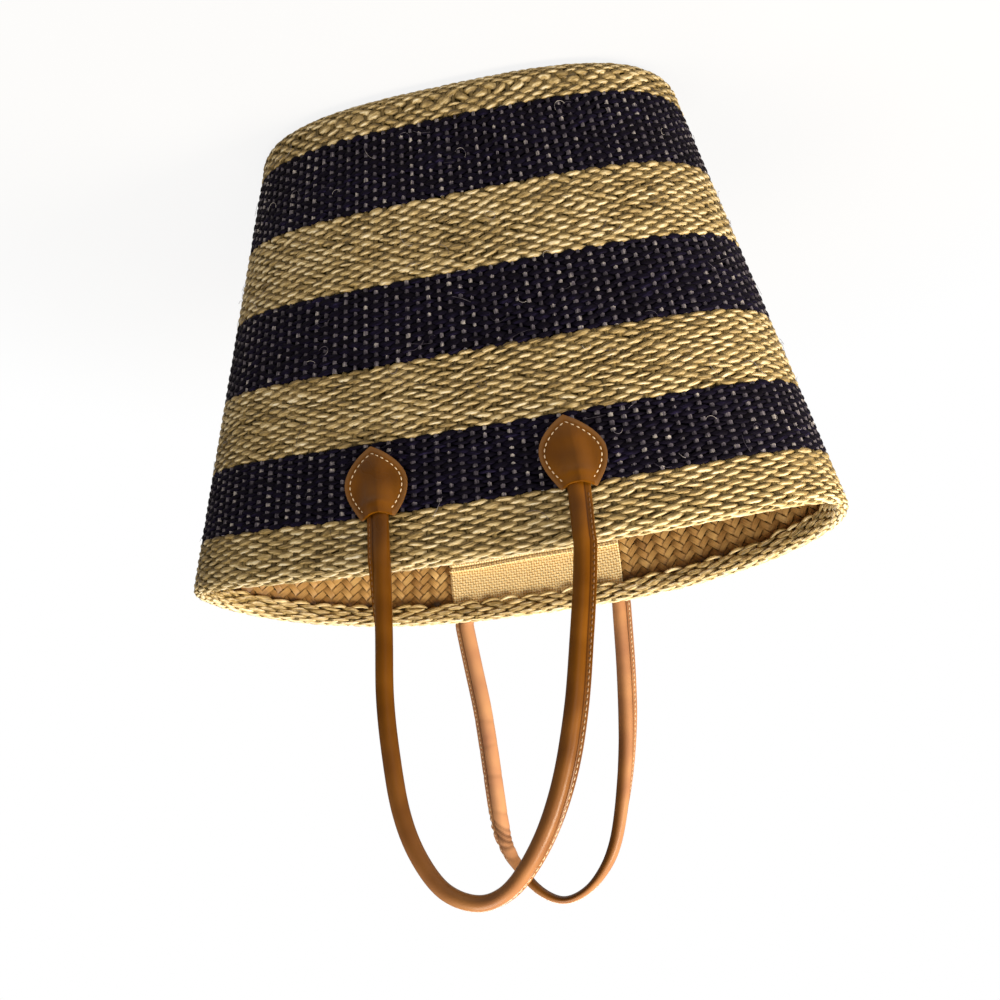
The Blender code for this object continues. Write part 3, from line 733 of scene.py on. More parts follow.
# %% Stray fibres
HAIRS = 240
HAIR_RADIUS = 0.11 * MM
HAIR_REACH = 7.5 * MM
HAIR_RINGS = 9
HAIR_LIFT = 0.4 * MM
HAIR_LIFT_SPREAD = 1.6 * MM
HAIR_ROOT = 0.2 * MM
HEADING_SPREAD = 0.7
CURL_SPREAD = 0.75


def make_stray_fibres():
    """Loose fibres over the whole side, each with its own length, heading and curl."""
    cuts = 2 * np.arange(1, HAIR_RINGS) / HAIR_RINGS - 1
    hairs = cut_cylinder("stray_fibres", 3, HAIR_RADIUS, HAIR_REACH, cuts)
    local = multiply(hairs, HAIRS)
    measure_fibres(hairs, local[:, :, 1], local[:, :, 0])
    part = local[:, :, 0] / HAIR_REACH
    length = HAIR_REACH * (0.3 + 0.7 * chance.random((HAIRS, 1)))
    heading = HEADING_SPREAD * chance.normal(size=(HAIRS, 1))
    heading = heading + CURL_SPREAD * chance.normal(size=(HAIRS, 1)) * part
    along = length * part * np.cos(heading) - local[:, :, 1] * np.sin(heading)
    up = length * part * np.sin(heading) + local[:, :, 1] * np.cos(heading)
    lift = (HAIR_LIFT + HAIR_LIFT_SPREAD * chance.random((HAIRS, 1))) * (part + 1) / 2 - HAIR_ROOT
    share = chance.random((HAIRS, 1)) + along / (COLUMNS * COLUMN_PITCH)
    path = SHOULDER * (0.02 + 0.96 * chance.random((HAIRS, 1))) + up
    write_places(hairs, laid(share.ravel(), path.ravel(), (lift + local[:, :, 2]).ravel()))
    set_tone(hairs, np.clip(0.5 + 0.25 * chance.normal(size=HAIRS), 0, 1))
    bpy.ops.object.shade_smooth()
    settle(hairs, stained_sisal, "natural_sisal")


make_stray_fibres()

# %% [markdown]
# The rest of the base is woven in the same way. Its rings get shorter towards the middle, so the inner
# ones have fewer columns, as a maker leaves out warps. Below the hem, one cord binds the raw edge. Its
# long loops bow down over the lining, so the edge looks scalloped.

# %% Base and hem edge
UNDER_RINGS = ((8, 130), (8, 92), (8, 60))
LOOP_SHIFT = 0.16
LOOP_LENGTH = 1.08
LOOP_HEIGHT = 0.72
LOOP_THICKNESS = 0.8
LOOP_BOW = 1.5 * MM
LOOP_BOW_SPREAD = 0.5 * MM
LOOP_DEPTH = -1.0 * MM
LOOP_BELOW_HEM = -0.2 * MM
LOOP_TONE = 0.42
LOOP_TONE_SPREAD = 0.12
# The middle of each loop is lighter by a painted highlight.
LOOP_PAINTED_HIGHLIGHT = 0.14
under_step = FLOOR_REACH / sum(rows for rows, _ in UNDER_RINGS)
ring_start = -EDGE_ARC
for rows, columns in UNDER_RINGS:
    ring_end = ring_start - rows * under_step
    ring = weave(f"base_weave_under_{columns}", ring_start, ring_end, rows, "natural", columns=columns)
    settle(ring, natural_sisal, "natural_sisal")
    ring_start = ring_end


def make_hem_cord():
    """A bowed loop over every second column, just under the hem, which binds its raw edge."""
    loops = COLUMNS // 2
    cord = make_stitch("hem_whipping_cord")
    local = multiply(cord, loops)
    index = np.arange(loops)[:, None] + LOOP_SHIFT * chance.normal(size=(loops, 1))
    part = local[:, :, 0] / STITCH_REACH
    bow = LOOP_BOW + LOOP_BOW_SPREAD * chance.normal(size=(loops, 1))
    y = local[:, :, 1] * LOOP_HEIGHT + bow * (1 - part ** 2) * (1 + 0.5 * part)
    out = (local[:, :, 2] - max(RING_DEPTHS) * MM) * LOOP_THICKNESS + LOOP_DEPTH
    share = (2 * index + local[:, :, 0] * LOOP_LENGTH / COLUMN_PITCH) / COLUMNS
    path = HEM_END + LOOP_BELOW_HEM + y
    write_places(cord, laid(share.ravel(), path.ravel(), out.ravel()))
    measure_fibres(cord, local[:, :, 1], local[:, :, 0])
    # The middle of each loop gets a painted highlight.
    tone = LOOP_TONE + LOOP_TONE_SPREAD * chance.normal(size=(loops, 1)) + LOOP_PAINTED_HIGHLIGHT * (1 - part ** 2)
    set_points(cord, "tone", np.clip(tone, 0, 1))
    settle(cord, natural_sisal, "natural_sisal", "hem_whipping")


make_hem_cord()

# %% [markdown]
# The lining is split palm leaf, plaited over two and under two, so it shows a herringbone. Every visible
# strip is a small plank that lies at 45 degrees and dips under its neighbours at both ends. Leaf strips
# are golden brown, with veins, and each strip has a tone of its own. Under the hem the mat is darker.

# %% Palm leaf
VEIN_LENGTH = 14 * MM
VEIN_WIDTH = 0.5 * MM


def make_palm():
    """Split palm leaf: veins along each strip, and a faint wax gloss."""
    material, shader = new_material("split palm leaf", 0.5)
    veins = add_streaks(material, VEIN_WIDTH, VEIN_LENGTH, 4.0, 0.65)
    colour = add_tones(material, veins, 0.45, (
        (0.12, "#2E1C0C"), (0.28, "#6A4A24"), (0.42, "#A47C46"), (0.58, "#C9A264"), (0.8, "#E8CE94")))
    bump = add(material, "ShaderNodeBump", {"Height": veins, "Strength": 0.4, "Distance": 0.2 * MM})
    feed(material, shader, base_color=colour, normal=bump.outputs["Normal"])
    return material


plaited_palm = make_palm()

# %% Lining
STRIP_CELL = 3.05 * MM
ZIGZAGS = 78
LINING_ROWS = 46
LINING_LAY = 4.05 * MM
LINING_TOP = END_HEIGHT - FOLD_RADIUS - 0.5 * MM
LINING_FOOT_INSET = 13.3 * MM
LINING_FOOT_LEVEL = 4.35 * MM
LINING_BEND = 6 * MM
LINING_LIFT = 0.3 * MM
PLANK_HALF_WIDTH = 1.92 * MM
PLANK_HALF_LENGTH = 5.0 * MM
PLANK_CROWN = 1.0 * MM
PLANK_TIP = -0.2 * MM
PLANK_THICKNESS = 0.55 * MM
STRIP_TONES = 997
STRIP_TONE = 0.06
HEM_SHADE = 0.6
HEM_SHADE_REACH = 7.0 * MM


def make_plank(name):
    """One visible strip of leaf along X: wide on top, narrow below, with both tips bent down."""
    plank = cut_cylinder(name, 3, 1.0, PLANK_HALF_LENGTH, (-0.5, 0.5), turn=(-QUARTER, 0, QUARTER))
    place = read_places(plank)
    top = place[:, 2] > place[:, 2].mean()
    tip = np.abs(place[:, 0]) > 0.8 * PLANK_HALF_LENGTH
    height = np.where(tip, PLANK_TIP, PLANK_CROWN)
    place[:, 2] = np.where(top, height, height - PLANK_THICKNESS)
    place[:, 1] = np.where(top, np.sign(place[:, 1]) * PLANK_HALF_WIDTH, 0.0)
    write_places(plank, place)
    bpy.ops.object.shade_smooth_by_angle(angle=math.radians(40))
    return plank


def herringbone(name, columns, rows):
    """A flat mat of strips at 45 degrees: across, up and out of each copy's points, and its tone."""
    mat = make_plank(name)
    count = 2 * columns * rows
    local = multiply(mat, count)
    index = np.arange(count)
    kind = index % 2
    column = index // 2 % columns
    row = index // 2 // columns
    x = (4 * column + 0.5 + 2 * kind) * STRIP_CELL
    y = (2 * row + 0.5 + kind) * STRIP_CELL
    strip = np.where(kind == 0, row - 2 * column, row + 2 * column + 7)
    slope = np.where(kind == 0, 1.0, -1.0)[:, None]
    across = x[:, None] + (local[:, :, 0] - slope * local[:, :, 1]) * DIAGONAL
    up = y[:, None] + (slope * local[:, :, 0] + local[:, :, 1]) * DIAGONAL
    strip_tone = STRIP_TONE * chance.normal(size=STRIP_TONES)[strip % STRIP_TONES]
    tone = np.clip(0.5 + strip_tone + STRIP_TONE * chance.normal(size=count), 0, 1)
    measure_fibres(mat, local[:, :, 1], local[:, :, 0])
    return mat, across, up, local[:, :, 2], tone


def lining_section(path):
    """Inset, level and direction to the inside, at distances up the lining from its bend."""
    below = np.clip(-path, 0, None)
    lean = smooth(0.5 - path / LINING_BEND) * QUARTER / 2
    inset = LINING_LAY + below * DIAGONAL
    level = BASE_EDGE_RADIUS + LINING_LIFT + np.clip(path, 0, None) - below * DIAGONAL
    return inset, level, np.cos(lean), np.sin(lean)


def make_lining_wall():
    """Wrap the mat round the inside, from the edge of the floor up into the hem."""
    mat, across, up, out, tone = herringbone("lining_wall_mat", ZIGZAGS, LINING_ROWS)
    slant = (LINING_FOOT_INSET - LINING_LAY) / DIAGONAL
    reach = LINING_TOP - BASE_EDGE_RADIUS + slant
    path = np.clip(up / (2 * LINING_ROWS * STRIP_CELL), 0, 1) * reach - slant
    inset, level, lean_in, lean_up = lining_section(path)
    angle = angle_at(across / (4 * ZIGZAGS * STRIP_CELL) + 0.5, level - BASE_EDGE_RADIUS)
    points = wall(angle, level + out * lean_up, inset + out * lean_in)
    write_places(mat, points.reshape(-1, 3))
    under_hem = smooth(1 + (level - BASE_EDGE_RADIUS - SIDE_HEIGHT + HEM_DEPTH) / HEM_SHADE_REACH)
    set_points(mat, "tone", tone[:, None] - HEM_SHADE * under_hem)
    settle(mat, plaited_palm, "plaited_palm", "lining_wall")


def make_lining_base():
    """The same mat flat on the floor, cut to the oval of the lining's foot."""
    columns, rows = 22, 22
    mat, across, up, out, tone = herringbone("lining_base_mat", columns, rows)
    middle_x = 2 * columns * STRIP_CELL
    middle_y = rows * STRIP_CELL
    half_length = BASE_LENGTH / 2 - LINING_FOOT_INSET
    half_width = BASE_WIDTH / 2 - LINING_FOOT_INSET
    far = ((np.abs(across - middle_x) / half_length) ** BASE_SQUARENESS
           + (np.abs(up - middle_y) / half_width) ** BASE_SQUARENESS) ** (1 / BASE_SQUARENESS)
    pull = 1 / np.maximum(far, 1.0)
    points = np.stack([
        (across - middle_x) * pull, (up - middle_y) * pull, LINING_FOOT_LEVEL + out], axis=-1)
    write_places(mat, points.reshape(-1, 3))
    set_tone(mat, tone)
    drop_copies(mat, far.min(axis=1) > 0.995)
    settle(mat, plaited_palm, "plaited_palm", "lining_base")


make_lining_wall()
make_lining_base()

# %% [markdown]
# The pocket is hessian: thick, uneven jute threads in a plain weave. The cloth hangs on the back wall
# as a back sheet, a front sheet with a folded mouth, and the fold itself. The mouth sags inwards and
# slants a little, because a hand has pulled it open, and a seam draws it in. The material weaves the
# threads, 1.75 mm apart. They wander over about 6 mm, and their fibres are drawn about 0.5 mm long.

# %% Hessian
HESSIAN_PITCH = 1.75 * MM
THREAD_WANDER = 0.9 * MM


def make_hessian():
    """Plain-woven jute: two sets of threads that pass over each other, uneven and hairy."""
    material, shader = new_material("jute hessian", 0.85)
    cloth = add(material, "ShaderNodeUVMap", uv_map="Cloth")
    wobble = add(material, "ShaderNodeTexNoise", {
        "Vector": cloth.outputs["UV"], "Scale": 160.0, "Detail": 1.0})
    shift = add(material, "ShaderNodeVectorMath", {
        0: wobble.outputs["Color"], 1: (THREAD_WANDER, THREAD_WANDER, 0)}, operation="MULTIPLY")
    bent = add(material, "ShaderNodeVectorMath", {
        0: cloth.outputs["UV"], 1: shift.outputs["Vector"]}, operation="ADD")
    turn = math.pi / HESSIAN_PITCH
    phase = add(material, "ShaderNodeVectorMath", {
        0: bent.outputs["Vector"], 1: (turn, turn, 0)}, operation="MULTIPLY")
    parts = add(material, "ShaderNodeSeparateXYZ", {0: phase.outputs["Vector"]})
    waves, threads = [], []
    for axis in ("X", "Y"):
        wave = add(material, "ShaderNodeMath", {0: parts.outputs[axis]}, operation="SINE")
        waves.append(wave)
        threads.append(add(material, "ShaderNodeMath", {0: wave.outputs["Value"]}, operation="ABSOLUTE"))
    over = add(material, "ShaderNodeMath", {
        0: waves[0].outputs["Value"], 1: waves[1].outputs["Value"]}, operation="MULTIPLY")
    on_top = add(material, "ShaderNodeMath", {0: over.outputs["Value"], 1: 0.0}, operation="GREATER_THAN")
    height = add(material, "ShaderNodeMix", {
        "Factor": on_top.outputs["Value"], "A": threads[0].outputs["Value"],
        "B": threads[1].outputs["Value"]}, data_type="FLOAT")
    fibre = add(material, "ShaderNodeTexNoise", {
        "Vector": cloth.outputs["UV"], "Scale": 1900.0, "Detail": 3.0})
    soft = add(material, "ShaderNodeMath", {0: fibre.outputs["Fac"], 1: 0.45}, operation="MULTIPLY")
    shade = add(material, "ShaderNodeMath", {
        0: height.outputs[0], 1: 0.55, 2: soft.outputs["Value"]}, operation="MULTIPLY_ADD")
    colour = add(material, "ShaderNodeValToRGB", {"Fac": shade.outputs["Value"]}, stops=(
        (0.20, "#9A6C2E"), (0.42, "#DFB468"), (0.60, "#FADE9E"), (0.80, "#FFF4CC")))
    bump = add(material, "ShaderNodeBump", {
        "Height": shade.outputs["Value"], "Strength": 0.9, "Distance": 0.5 * MM})
    feed(material, shader, base_color=colour.outputs["Color"], normal=bump.outputs["Normal"])
    return material


hessian = make_hessian()

# %% Pocket
POCKET_WIDTH = 114 * MM
POCKET_CLOTH = 0.8 * MM
POCKET_BOTTOM = 165 * MM
POCKET_BACK_TOP = 5.15 * MM
POCKET_FRONT_TOP = 39.5 * MM
POCKET_FOLD = 8 * MM
POCKET_COLUMNS = 76
POCKET_INSET = 5.65 * MM
POCKET_LAYER = 1.1 * MM
MOUTH_SAG = 2.4 * MM
MOUTH_SINK = 0.5 * MM
MOUTH_LIFT = 3.5 * MM
MOUTH_SLANT = 0.03
MOUTH_REACH = 45 * MM
MOUTH_SEAM = 0.7 * MM
SEAM_BELOW = 3.2 * MM
SEAM_WIDTH = 0.8 * MM
CLOTH_RIPPLE = 0.12 * MM


def rise_at(x, share):
    """Sine of the wall's angle, and its half width, at a place along a long side."""
    half_length, half_width, squareness = oval(share)
    sine = np.sqrt(np.maximum(0, 1 - (np.abs(x) / half_length) ** squareness))
    return sine, half_width * sine ** (2 / squareness)


def wall_depth(x, height):
    """Distance of the outside from the middle plane, at a place along a long side."""
    share = np.ones_like(height)
    for _ in range(12):
        sine, _ = rise_at(x, share)
        share = side_share(height - RIM_RISE * share ** RISE_GROWTH * sine ** 2)
    return rise_at(x, share)[1]


def rim_height(x):
    """Height of the rim at a place along a long side."""
    return END_HEIGHT + RIM_RISE * rise_at(x, np.ones_like(x))[0] ** 2


def make_pocket_sheet(name, node, top, bottom, layer, mouth=0.0, row_height=1.6 * MM):
    """A layer of cloth on the inside of the back wall. Where it has a mouth, that sags and slants."""
    inset = POCKET_INSET + layer * POCKET_LAYER
    tall = bottom - top
    sheet, place = start_grid(name, POCKET_COLUMNS, round(tall / row_height))
    across, up = place[:, 0], place[:, 1] + 0.5
    near_mouth = smooth(1 - (1 - up) * tall / MOUTH_REACH)
    open_share = np.cos(across * math.pi) ** 2 * near_mouth
    x = across * POCKET_WIDTH * (1 + 0.012 * np.sin(up * 9))
    height = rim_height(x) - bottom + up * tall
    height += mouth * ((MOUTH_LIFT + MOUTH_SLANT * x) * near_mouth - MOUTH_SINK * open_share)
    ripple = CLOTH_RIPPLE * np.sin(x / (7 * MM) + 3 * up) * np.sin(up * 11)
    depth = wall_depth(x, height) - inset - mouth * MOUTH_SAG * open_share - np.abs(ripple)
    depth += mouth * MOUTH_SEAM * np.exp(-(((1 - up) * tall - SEAM_BELOW) / SEAM_WIDTH) ** 2)
    write_places(sheet, np.stack([x, depth, height], axis=-1))
    write_uv(sheet, "Cloth", read_uv(sheet) * (POCKET_WIDTH, tall))
    thicken(sheet, POCKET_CLOTH)
    bpy.ops.object.shade_smooth()
    settle(sheet, hessian, "hessian", node)
    return sheet


pocket_back = make_pocket_sheet(
    "pocket_back_cloth", "pocket_back", POCKET_BACK_TOP, POCKET_BOTTOM, 0)
pocket_front = make_pocket_sheet(
    "pocket_front_cloth", "pocket_front", POCKET_FRONT_TOP, POCKET_BOTTOM, 1, mouth=1.0)
pocket_fold = make_pocket_sheet(
    "pocket_mouth_cloth", "pocket_mouth_fold", POCKET_FRONT_TOP, POCKET_FRONT_TOP + POCKET_FOLD, 2,
    mouth=1.0, row_height=0.5 * MM)

# %% [markdown]
# The leather is smooth, waxed and tan. It has a fine grain, paler patches about 20 mm wide, and a raw cut
# edge that is paler, because the dye doesn't reach the middle of the hide. The grain is drawn 0.7 mm
# wide, twice its real size, so that it shows. Where hands hold the front handle, the wax is gone and it
# is much paler, while the back handle is paler all over as painted light. Painted shade darkens the groove
# beside the fin, the inside of each loop and the back handle's creases. The thread along the handles is
# browner, partly soiled and partly painted shade.

# %% Leather


def make_leather():
    """Tan leather, paler for rubbed-off wax, painted light and cut edges, darker for painted shade."""
    material, shader = new_material("waxed tan leather", 0.35, 0.15)
    hide = add(material, "ShaderNodeUVMap", uv_map="Hide")
    cloud = add(material, "ShaderNodeTexNoise", {
        "Vector": hide.outputs["UV"], "Scale": 48.0, "Detail": 1.0})
    grain = add(material, "ShaderNodeTexVoronoi", {"Vector": hide.outputs["UV"], "Scale": 1500.0})
    tan = add(material, "ShaderNodeValToRGB", {"Fac": cloud.outputs["Fac"]}, stops=(
        (0.25, "#5E3602"), (0.75, "#804E0A")))
    pale = add(material, "ShaderNodeValToRGB", {"Fac": cloud.outputs["Fac"]}, stops=(
        (0.25, "#BE8868"), (0.75, "#DCA678")))
    colour = tan.outputs["Color"]
    for mark, changed in (("wear_and_light", pale.outputs["Color"]), ("edge", linear("#87613A")),
                          ("painted_shade", linear("#2C1204"))):
        share = add(material, "ShaderNodeAttribute", attribute_name=mark)
        colour = add(material, "ShaderNodeMix", {
            "Factor": share.outputs["Fac"], "A": colour, "B": changed}, data_type="RGBA").outputs[2]
    rough = add(material, "ShaderNodeMapRange", {
        "Value": cloud.outputs["Fac"], "From Min": 0.25, "From Max": 0.75, "To Min": 0.26, "To Max": 0.36})
    bump = add(material, "ShaderNodeBump", {
        "Height": grain.outputs["Distance"], "Strength": 0.25, "Distance": 0.1 * MM})
    feed(material, shader, base_color=colour, roughness=rough.outputs["Result"],
         normal=bump.outputs["Normal"])
    return material


def make_thread():
    """Waxed cream sewing thread, browner where its attribute says, partly soiled and partly painted shade.
    """
    material, shader = new_material("waxed cream thread", 0.55)
    darkening = add(material, "ShaderNodeAttribute", attribute_name="darkening")
    colour = add(material, "ShaderNodeMix", {
        "Factor": darkening.outputs["Fac"], "A": linear("#F0DBB8"), "B": linear("#7A4E24")}, data_type="RGBA")
    feed(material, shader, base_color=colour.outputs[2])
    return material


tan_leather = make_leather()
cream_thread = make_thread()

# %% Tab shape
TAB_LENGTH = 43.4 * MM
TAB_WIDTH = 36.6 * MM
TAB_MOUTH_WIDTH = 19.2 * MM
TAB_LEATHER = 1.6 * MM
TAB_MOUTH_BELOW_RIM = 30.0 * MM
TAB_MOUTH_HOLLOW = 2.0 * MM
TAB_DOME_REACH = 7.9 * MM
TAB_WIDEST_SHARE = 0.48
TAB_TAIL_SHARE = 0.62
TAB_STITCH_INSET = 3.0 * MM
TAB_STITCH_TIP_INSET = 4.5 * MM
HANDLE_RADIUS = 4.75 * MM
HANDLE_FIN = 3.0 * MM
TAIL_MOUTH = 7.0 * MM
TAIL_END = 3.0 * MM
CLEARANCE = 0.3 * MM
TAB_LIP = 0.7 * MM
TAB_LIP_SHARE = 0.17
TAB_LIP_SPREAD = 0.06
TAB_RIDGE = -1.8 * MM
TAB_RIDGE_FALL = 0.3
TAB_ACROSS = 60
TAB_ALONG = 72


def tab_half_width(along):
    """Half width of the leaf shape, from its mouth at 0 to its point at 1."""
    swell = np.sin(QUARTER * np.clip(along / TAB_WIDEST_SHARE, 0, 1))
    low = (TAB_MOUTH_WIDTH + (TAB_WIDTH - TAB_MOUTH_WIDTH) * swell) / 2
    taper = np.clip((along - TAB_WIDEST_SHARE) / (1 - TAB_WIDEST_SHARE), 0, 1)
    return np.where(along < TAB_WIDEST_SHARE, low, TAB_WIDTH / 2 * (1 - taper * taper))


def tail_thickness(along):
    """Thickness of the handle's tail at a share of the tab's length."""
    return TAIL_MOUTH + (TAIL_END - TAIL_MOUTH) * smooth(along / TAB_TAIL_SHARE)


def tab_lift(offset, along):
    """How far the tab stands off the wall, where it domes over the tail in a soft ridge."""
    part = smooth((1 - along) / (1 - TAB_TAIL_SHARE))
    height = (tail_thickness(np.minimum(along, TAB_TAIL_SHARE)) + CLEARANCE) * part
    lip = TAB_LIP * np.exp(-((along - TAB_LIP_SHARE) / TAB_LIP_SPREAD) ** 2)
    fall = TAB_RIDGE_FALL * np.minimum(1, np.abs(offset - TAB_RIDGE) / TAB_DOME_REACH)
    return (height + lip) * (1.05 - fall) / (1 + (np.abs(offset) / TAB_DOME_REACH) ** 4)


def tab_points(spot, across, along, off_wall):
    """Points of a tab: across runs -1 to 1, along runs from the mouth to the point."""
    centre, side, lean = spot
    offset = across * tab_half_width(along)
    hollow = TAB_MOUTH_HOLLOW * (1 - across * across) * np.maximum(0, 1 - along * 2)
    mouth = rim_height(np.full_like(along, centre)) - TAB_MOUTH_BELOW_RIM
    level = mouth - along * TAB_LENGTH - hollow
    x = centre + offset + lean * np.clip(along, 0, 1) ** 1.5
    depth = wall_depth(x, level) + CLEARANCE + off_wall + tab_lift(offset, along)
    return np.stack([x, side * depth, level], axis=-1)


def stitch_line(share):
    """Across and along on the stitch line, from one mouth corner round the point to the other."""
    leaf = 1 - np.abs(2 * share - 1)
    start = TAB_STITCH_INSET / TAB_LENGTH
    end = 1 - TAB_STITCH_TIP_INSET / TAB_LENGTH
    along = start + (end - start) * leaf
    width = tab_half_width(leaf) * (1 - 2 * TAB_STITCH_INSET / TAB_WIDTH)
    return np.where(share < 0.5, -1, 1) * width / tab_half_width(along), along


# %% [markdown]
# A tab is a grid whose points are moved to the leaf shape, with a shallow furrow where the thread pulls
# the leather down. It gets its thickness from Solidify and its softened edge from Bevel. The leaves are
# cut by hand, so each leans its own way.

# %% Tabs
FURROW_DEPTH = 0.30 * MM
FURROW_WIDTH = 1.1 * MM
CUT_EDGE_SHARE = 0.6
CUT_EDGE_WIDTH = 1.6 * MM
EDGE_ROUNDING = 0.35 * MM


def furrow_distance(across, along):
    """Distance in metres from each place of a tab to its stitch line, negative outside it."""
    offset = across * tab_half_width(along)
    place = np.stack([offset, along * TAB_LENGTH], axis=-1)
    line_across, line_along = stitch_line(np.linspace(0, 1, 241))
    line = np.stack([line_across * tab_half_width(line_along), line_along * TAB_LENGTH], axis=-1)
    gap = np.linalg.norm(place[:, None, :] - line[None, :, :], axis=-1)
    nearest = gap.argmin(axis=1)
    outside = np.abs(offset) > np.abs(line[nearest, 0])
    return np.where(outside | (place[:, 1] > line[:, 1].max()), -1, 1) * gap.min(axis=1)


def make_tab(name, node, spot):
    """Leaf-shaped leather tab, sewn to the wall over the tail of the handle."""
    tab, place = start_grid(name, TAB_ACROSS, TAB_ALONG)
    across, along = place[:, 0] * 2, place[:, 1] + 0.5
    gap = furrow_distance(across, along)
    furrow = FURROW_DEPTH * np.exp(-(gap / FURROW_WIDTH) ** 2)
    write_places(tab, tab_points(spot, across, along, TAB_LEATHER / 2 - furrow))
    write_uv(tab, "Hide", read_uv(tab) * (TAB_WIDTH, TAB_LENGTH) + chance.random(2))
    set_points(tab, "edge", CUT_EDGE_SHARE * smooth(-gap / CUT_EDGE_WIDTH - 0.35))
    close_up(0.02 * MM)
    thicken(tab, TAB_LEATHER)
    rounding = tab.modifiers.new("rounded edge", "BEVEL")
    rounding.width = EDGE_ROUNDING
    rounding.segments = 2
    rounding.limit_method = "ANGLE"
    rounding.angle_limit = math.radians(50)
    bpy.ops.object.shade_smooth()
    settle(tab, tan_leather, "tan_leather", node)


THREAD_REACH = 1.35 * MM
THREAD_RADIUS = 0.36 * MM
THREAD_PITCH = 3.5 * MM
THREAD_DIVE = 0.62 * MM
THREAD_RISE = 0.12 * MM


def make_thread_stitch(name):
    """One visible stitch of thread along X: round, thicker in the middle, with its ends in the leather."""
    stitch = cut_cylinder(name, 6, THREAD_RADIUS, THREAD_REACH, (-0.7, 0.0, 0.7))
    place = read_places(stitch)
    share = np.abs(place[:, 0]) / THREAD_REACH
    place[:, 1] *= 1 - 0.3 * share
    place[:, 2] = place[:, 2] * (1 - 0.3 * share) - THREAD_DIVE * share ** 3
    write_places(stitch, place)
    bpy.ops.object.shade_smooth()
    return stitch


def make_tab_stitches(name, node, spot):
    """Stitches along the furrow, down one side of the leaf and up the other."""
    thread = make_thread_stitch(name)
    step, reach = 0.002, 0.03
    fine = np.linspace(0, 1, 601)
    across, along = stitch_line(fine)
    length = running_length(tab_points(spot, across, along, 0 * fine))
    count = round(length[-1] / THREAD_PITCH)
    local = multiply(thread, count)
    middle = (np.arange(count) + 0.5) * length[-1] / count
    at = middle[:, None] + local[:, :, 0]
    share = np.interp(at, length, fine).ravel()
    across, along = stitch_line(share)
    lift = TAB_LEATHER - FURROW_DEPTH + THREAD_RISE
    base = tab_points(spot, across, along, np.full_like(share, lift))
    ahead = tab_points(spot, *stitch_line(share + step), 0 * share)
    behind = tab_points(spot, *stitch_line(share - step), 0 * share)
    run = unit(ahead - behind)
    outward = np.cross(run, tab_points(spot, across + reach, along, 0 * share)
                       - tab_points(spot, across - reach, along, 0 * share))
    outward = unit(outward * np.sign(outward[:, 1] * spot[1])[:, None])
    beside = np.cross(run, outward)
    points = base + beside * local[:, :, 1].reshape(-1, 1) + outward * local[:, :, 2].reshape(-1, 1)
    write_places(thread, points)
    settle(thread, cream_thread, "cream_thread", node)


TAB_SPACING = {"front": 112 * MM, "back": 107 * MM}
TAB_LEANS = {
    "front": {"right": 2.5 * MM, "left": 4.7 * MM},
    "back": {"right": -1.5 * MM, "left": 2.0 * MM},
}
SIDES = {"front": -1, "back": 1}
HANDS = {"right": 1, "left": -1}
for place, side in SIDES.items():
    for hand_name, hand in HANDS.items():
        spot = (hand * TAB_SPACING[place] / 2, side, TAB_LEANS[place][hand_name])
        make_tab(f"tab_{place}_{hand_name}_leather", f"tab_{place}_{hand_name}", spot)
        make_tab_stitches(f"tab_{place}_{hand_name}_stitches", f"tab_thread_{place}_{hand_name}", spot)

# %% [markdown]
# Each handle is one leather strip rolled round a cord. Its two edges meet in a fin on the outer side,
# and stitches go through the fin. Below the rim the same strip flattens into a tail that goes under the
# tab. Its section is swept along the line that the photograph shows. The back handle has kinked: it is
# wrinkled at one place and pressed flat beyond it.

# %% Handle line
HANDLE_RISE = {"front": 172 * MM, "back": 179 * MM}
HINGE_OVER_RIM = 2.4 * MM
OVERRUN = 4 * MM
ROUTES = {
    "front": (
        (1.00, 0.00), (1.03, 0.20), (1.06, 0.38), (1.04, 0.55), (0.98, 0.72), (0.85, 0.85), (0.63, 0.955),
        (0.34, 1.00), (0.08, 0.985), (-0.15, 0.92), (-0.39, 0.805), (-0.59, 0.655), (-0.75, 0.47),
        (-0.87, 0.27), (-0.95, 0.12), (-1.00, 0.00)),
    "back": (
        (1.00, 0.00), (0.94, 0.14), (0.87, 0.30), (0.83, 0.46), (0.80, 0.62), (0.77, 0.74), (0.68, 0.84),
        (0.44, 0.945), (0.16, 0.998), (-0.10, 0.99), (-0.36, 0.935), (-0.58, 0.84), (-0.74, 0.69),
        (-0.87, 0.49), (-0.95, 0.26), (-1.00, 0.00)),
}
HANDLE_STEP = 1.0 * MM
LEATHER = 1.2 * MM
FIN_FACE = LEATHER + 0.05 * MM
FIN_ROOT = math.asin((FIN_FACE + 0.45 * MM) / HANDLE_RADIUS)


def curve_through(points):
    """A dense smooth curve through points."""
    points = np.array(points)
    before = np.concatenate([points[:1], points[:-2]])
    start, end = points[:-1], points[1:]
    after = np.concatenate([points[2:], points[-1:]])
    t = (np.arange(16) / 16)[:, None, None]
    dense = (start * 2 + (end - before) * t + (before * 2 - start * 5 + end * 4 - after) * t * t
             + (start * 3 - before - end * 3 + after) * t ** 3) / 2
    return np.concatenate([dense.transpose(1, 0, 2).reshape(-1, 3), points[-1:]])


def along_line(distance, length, line):
    """Points at distances along a line."""
    return np.stack([np.interp(distance, length, line[:, axis]) for axis in range(3)], axis=-1)


def by_table(table, place, even):
    """Read a handle's table at each step, from 0 at one tail to 1 at the other."""
    return np.interp(even / even[-1], *zip(*table[place]))


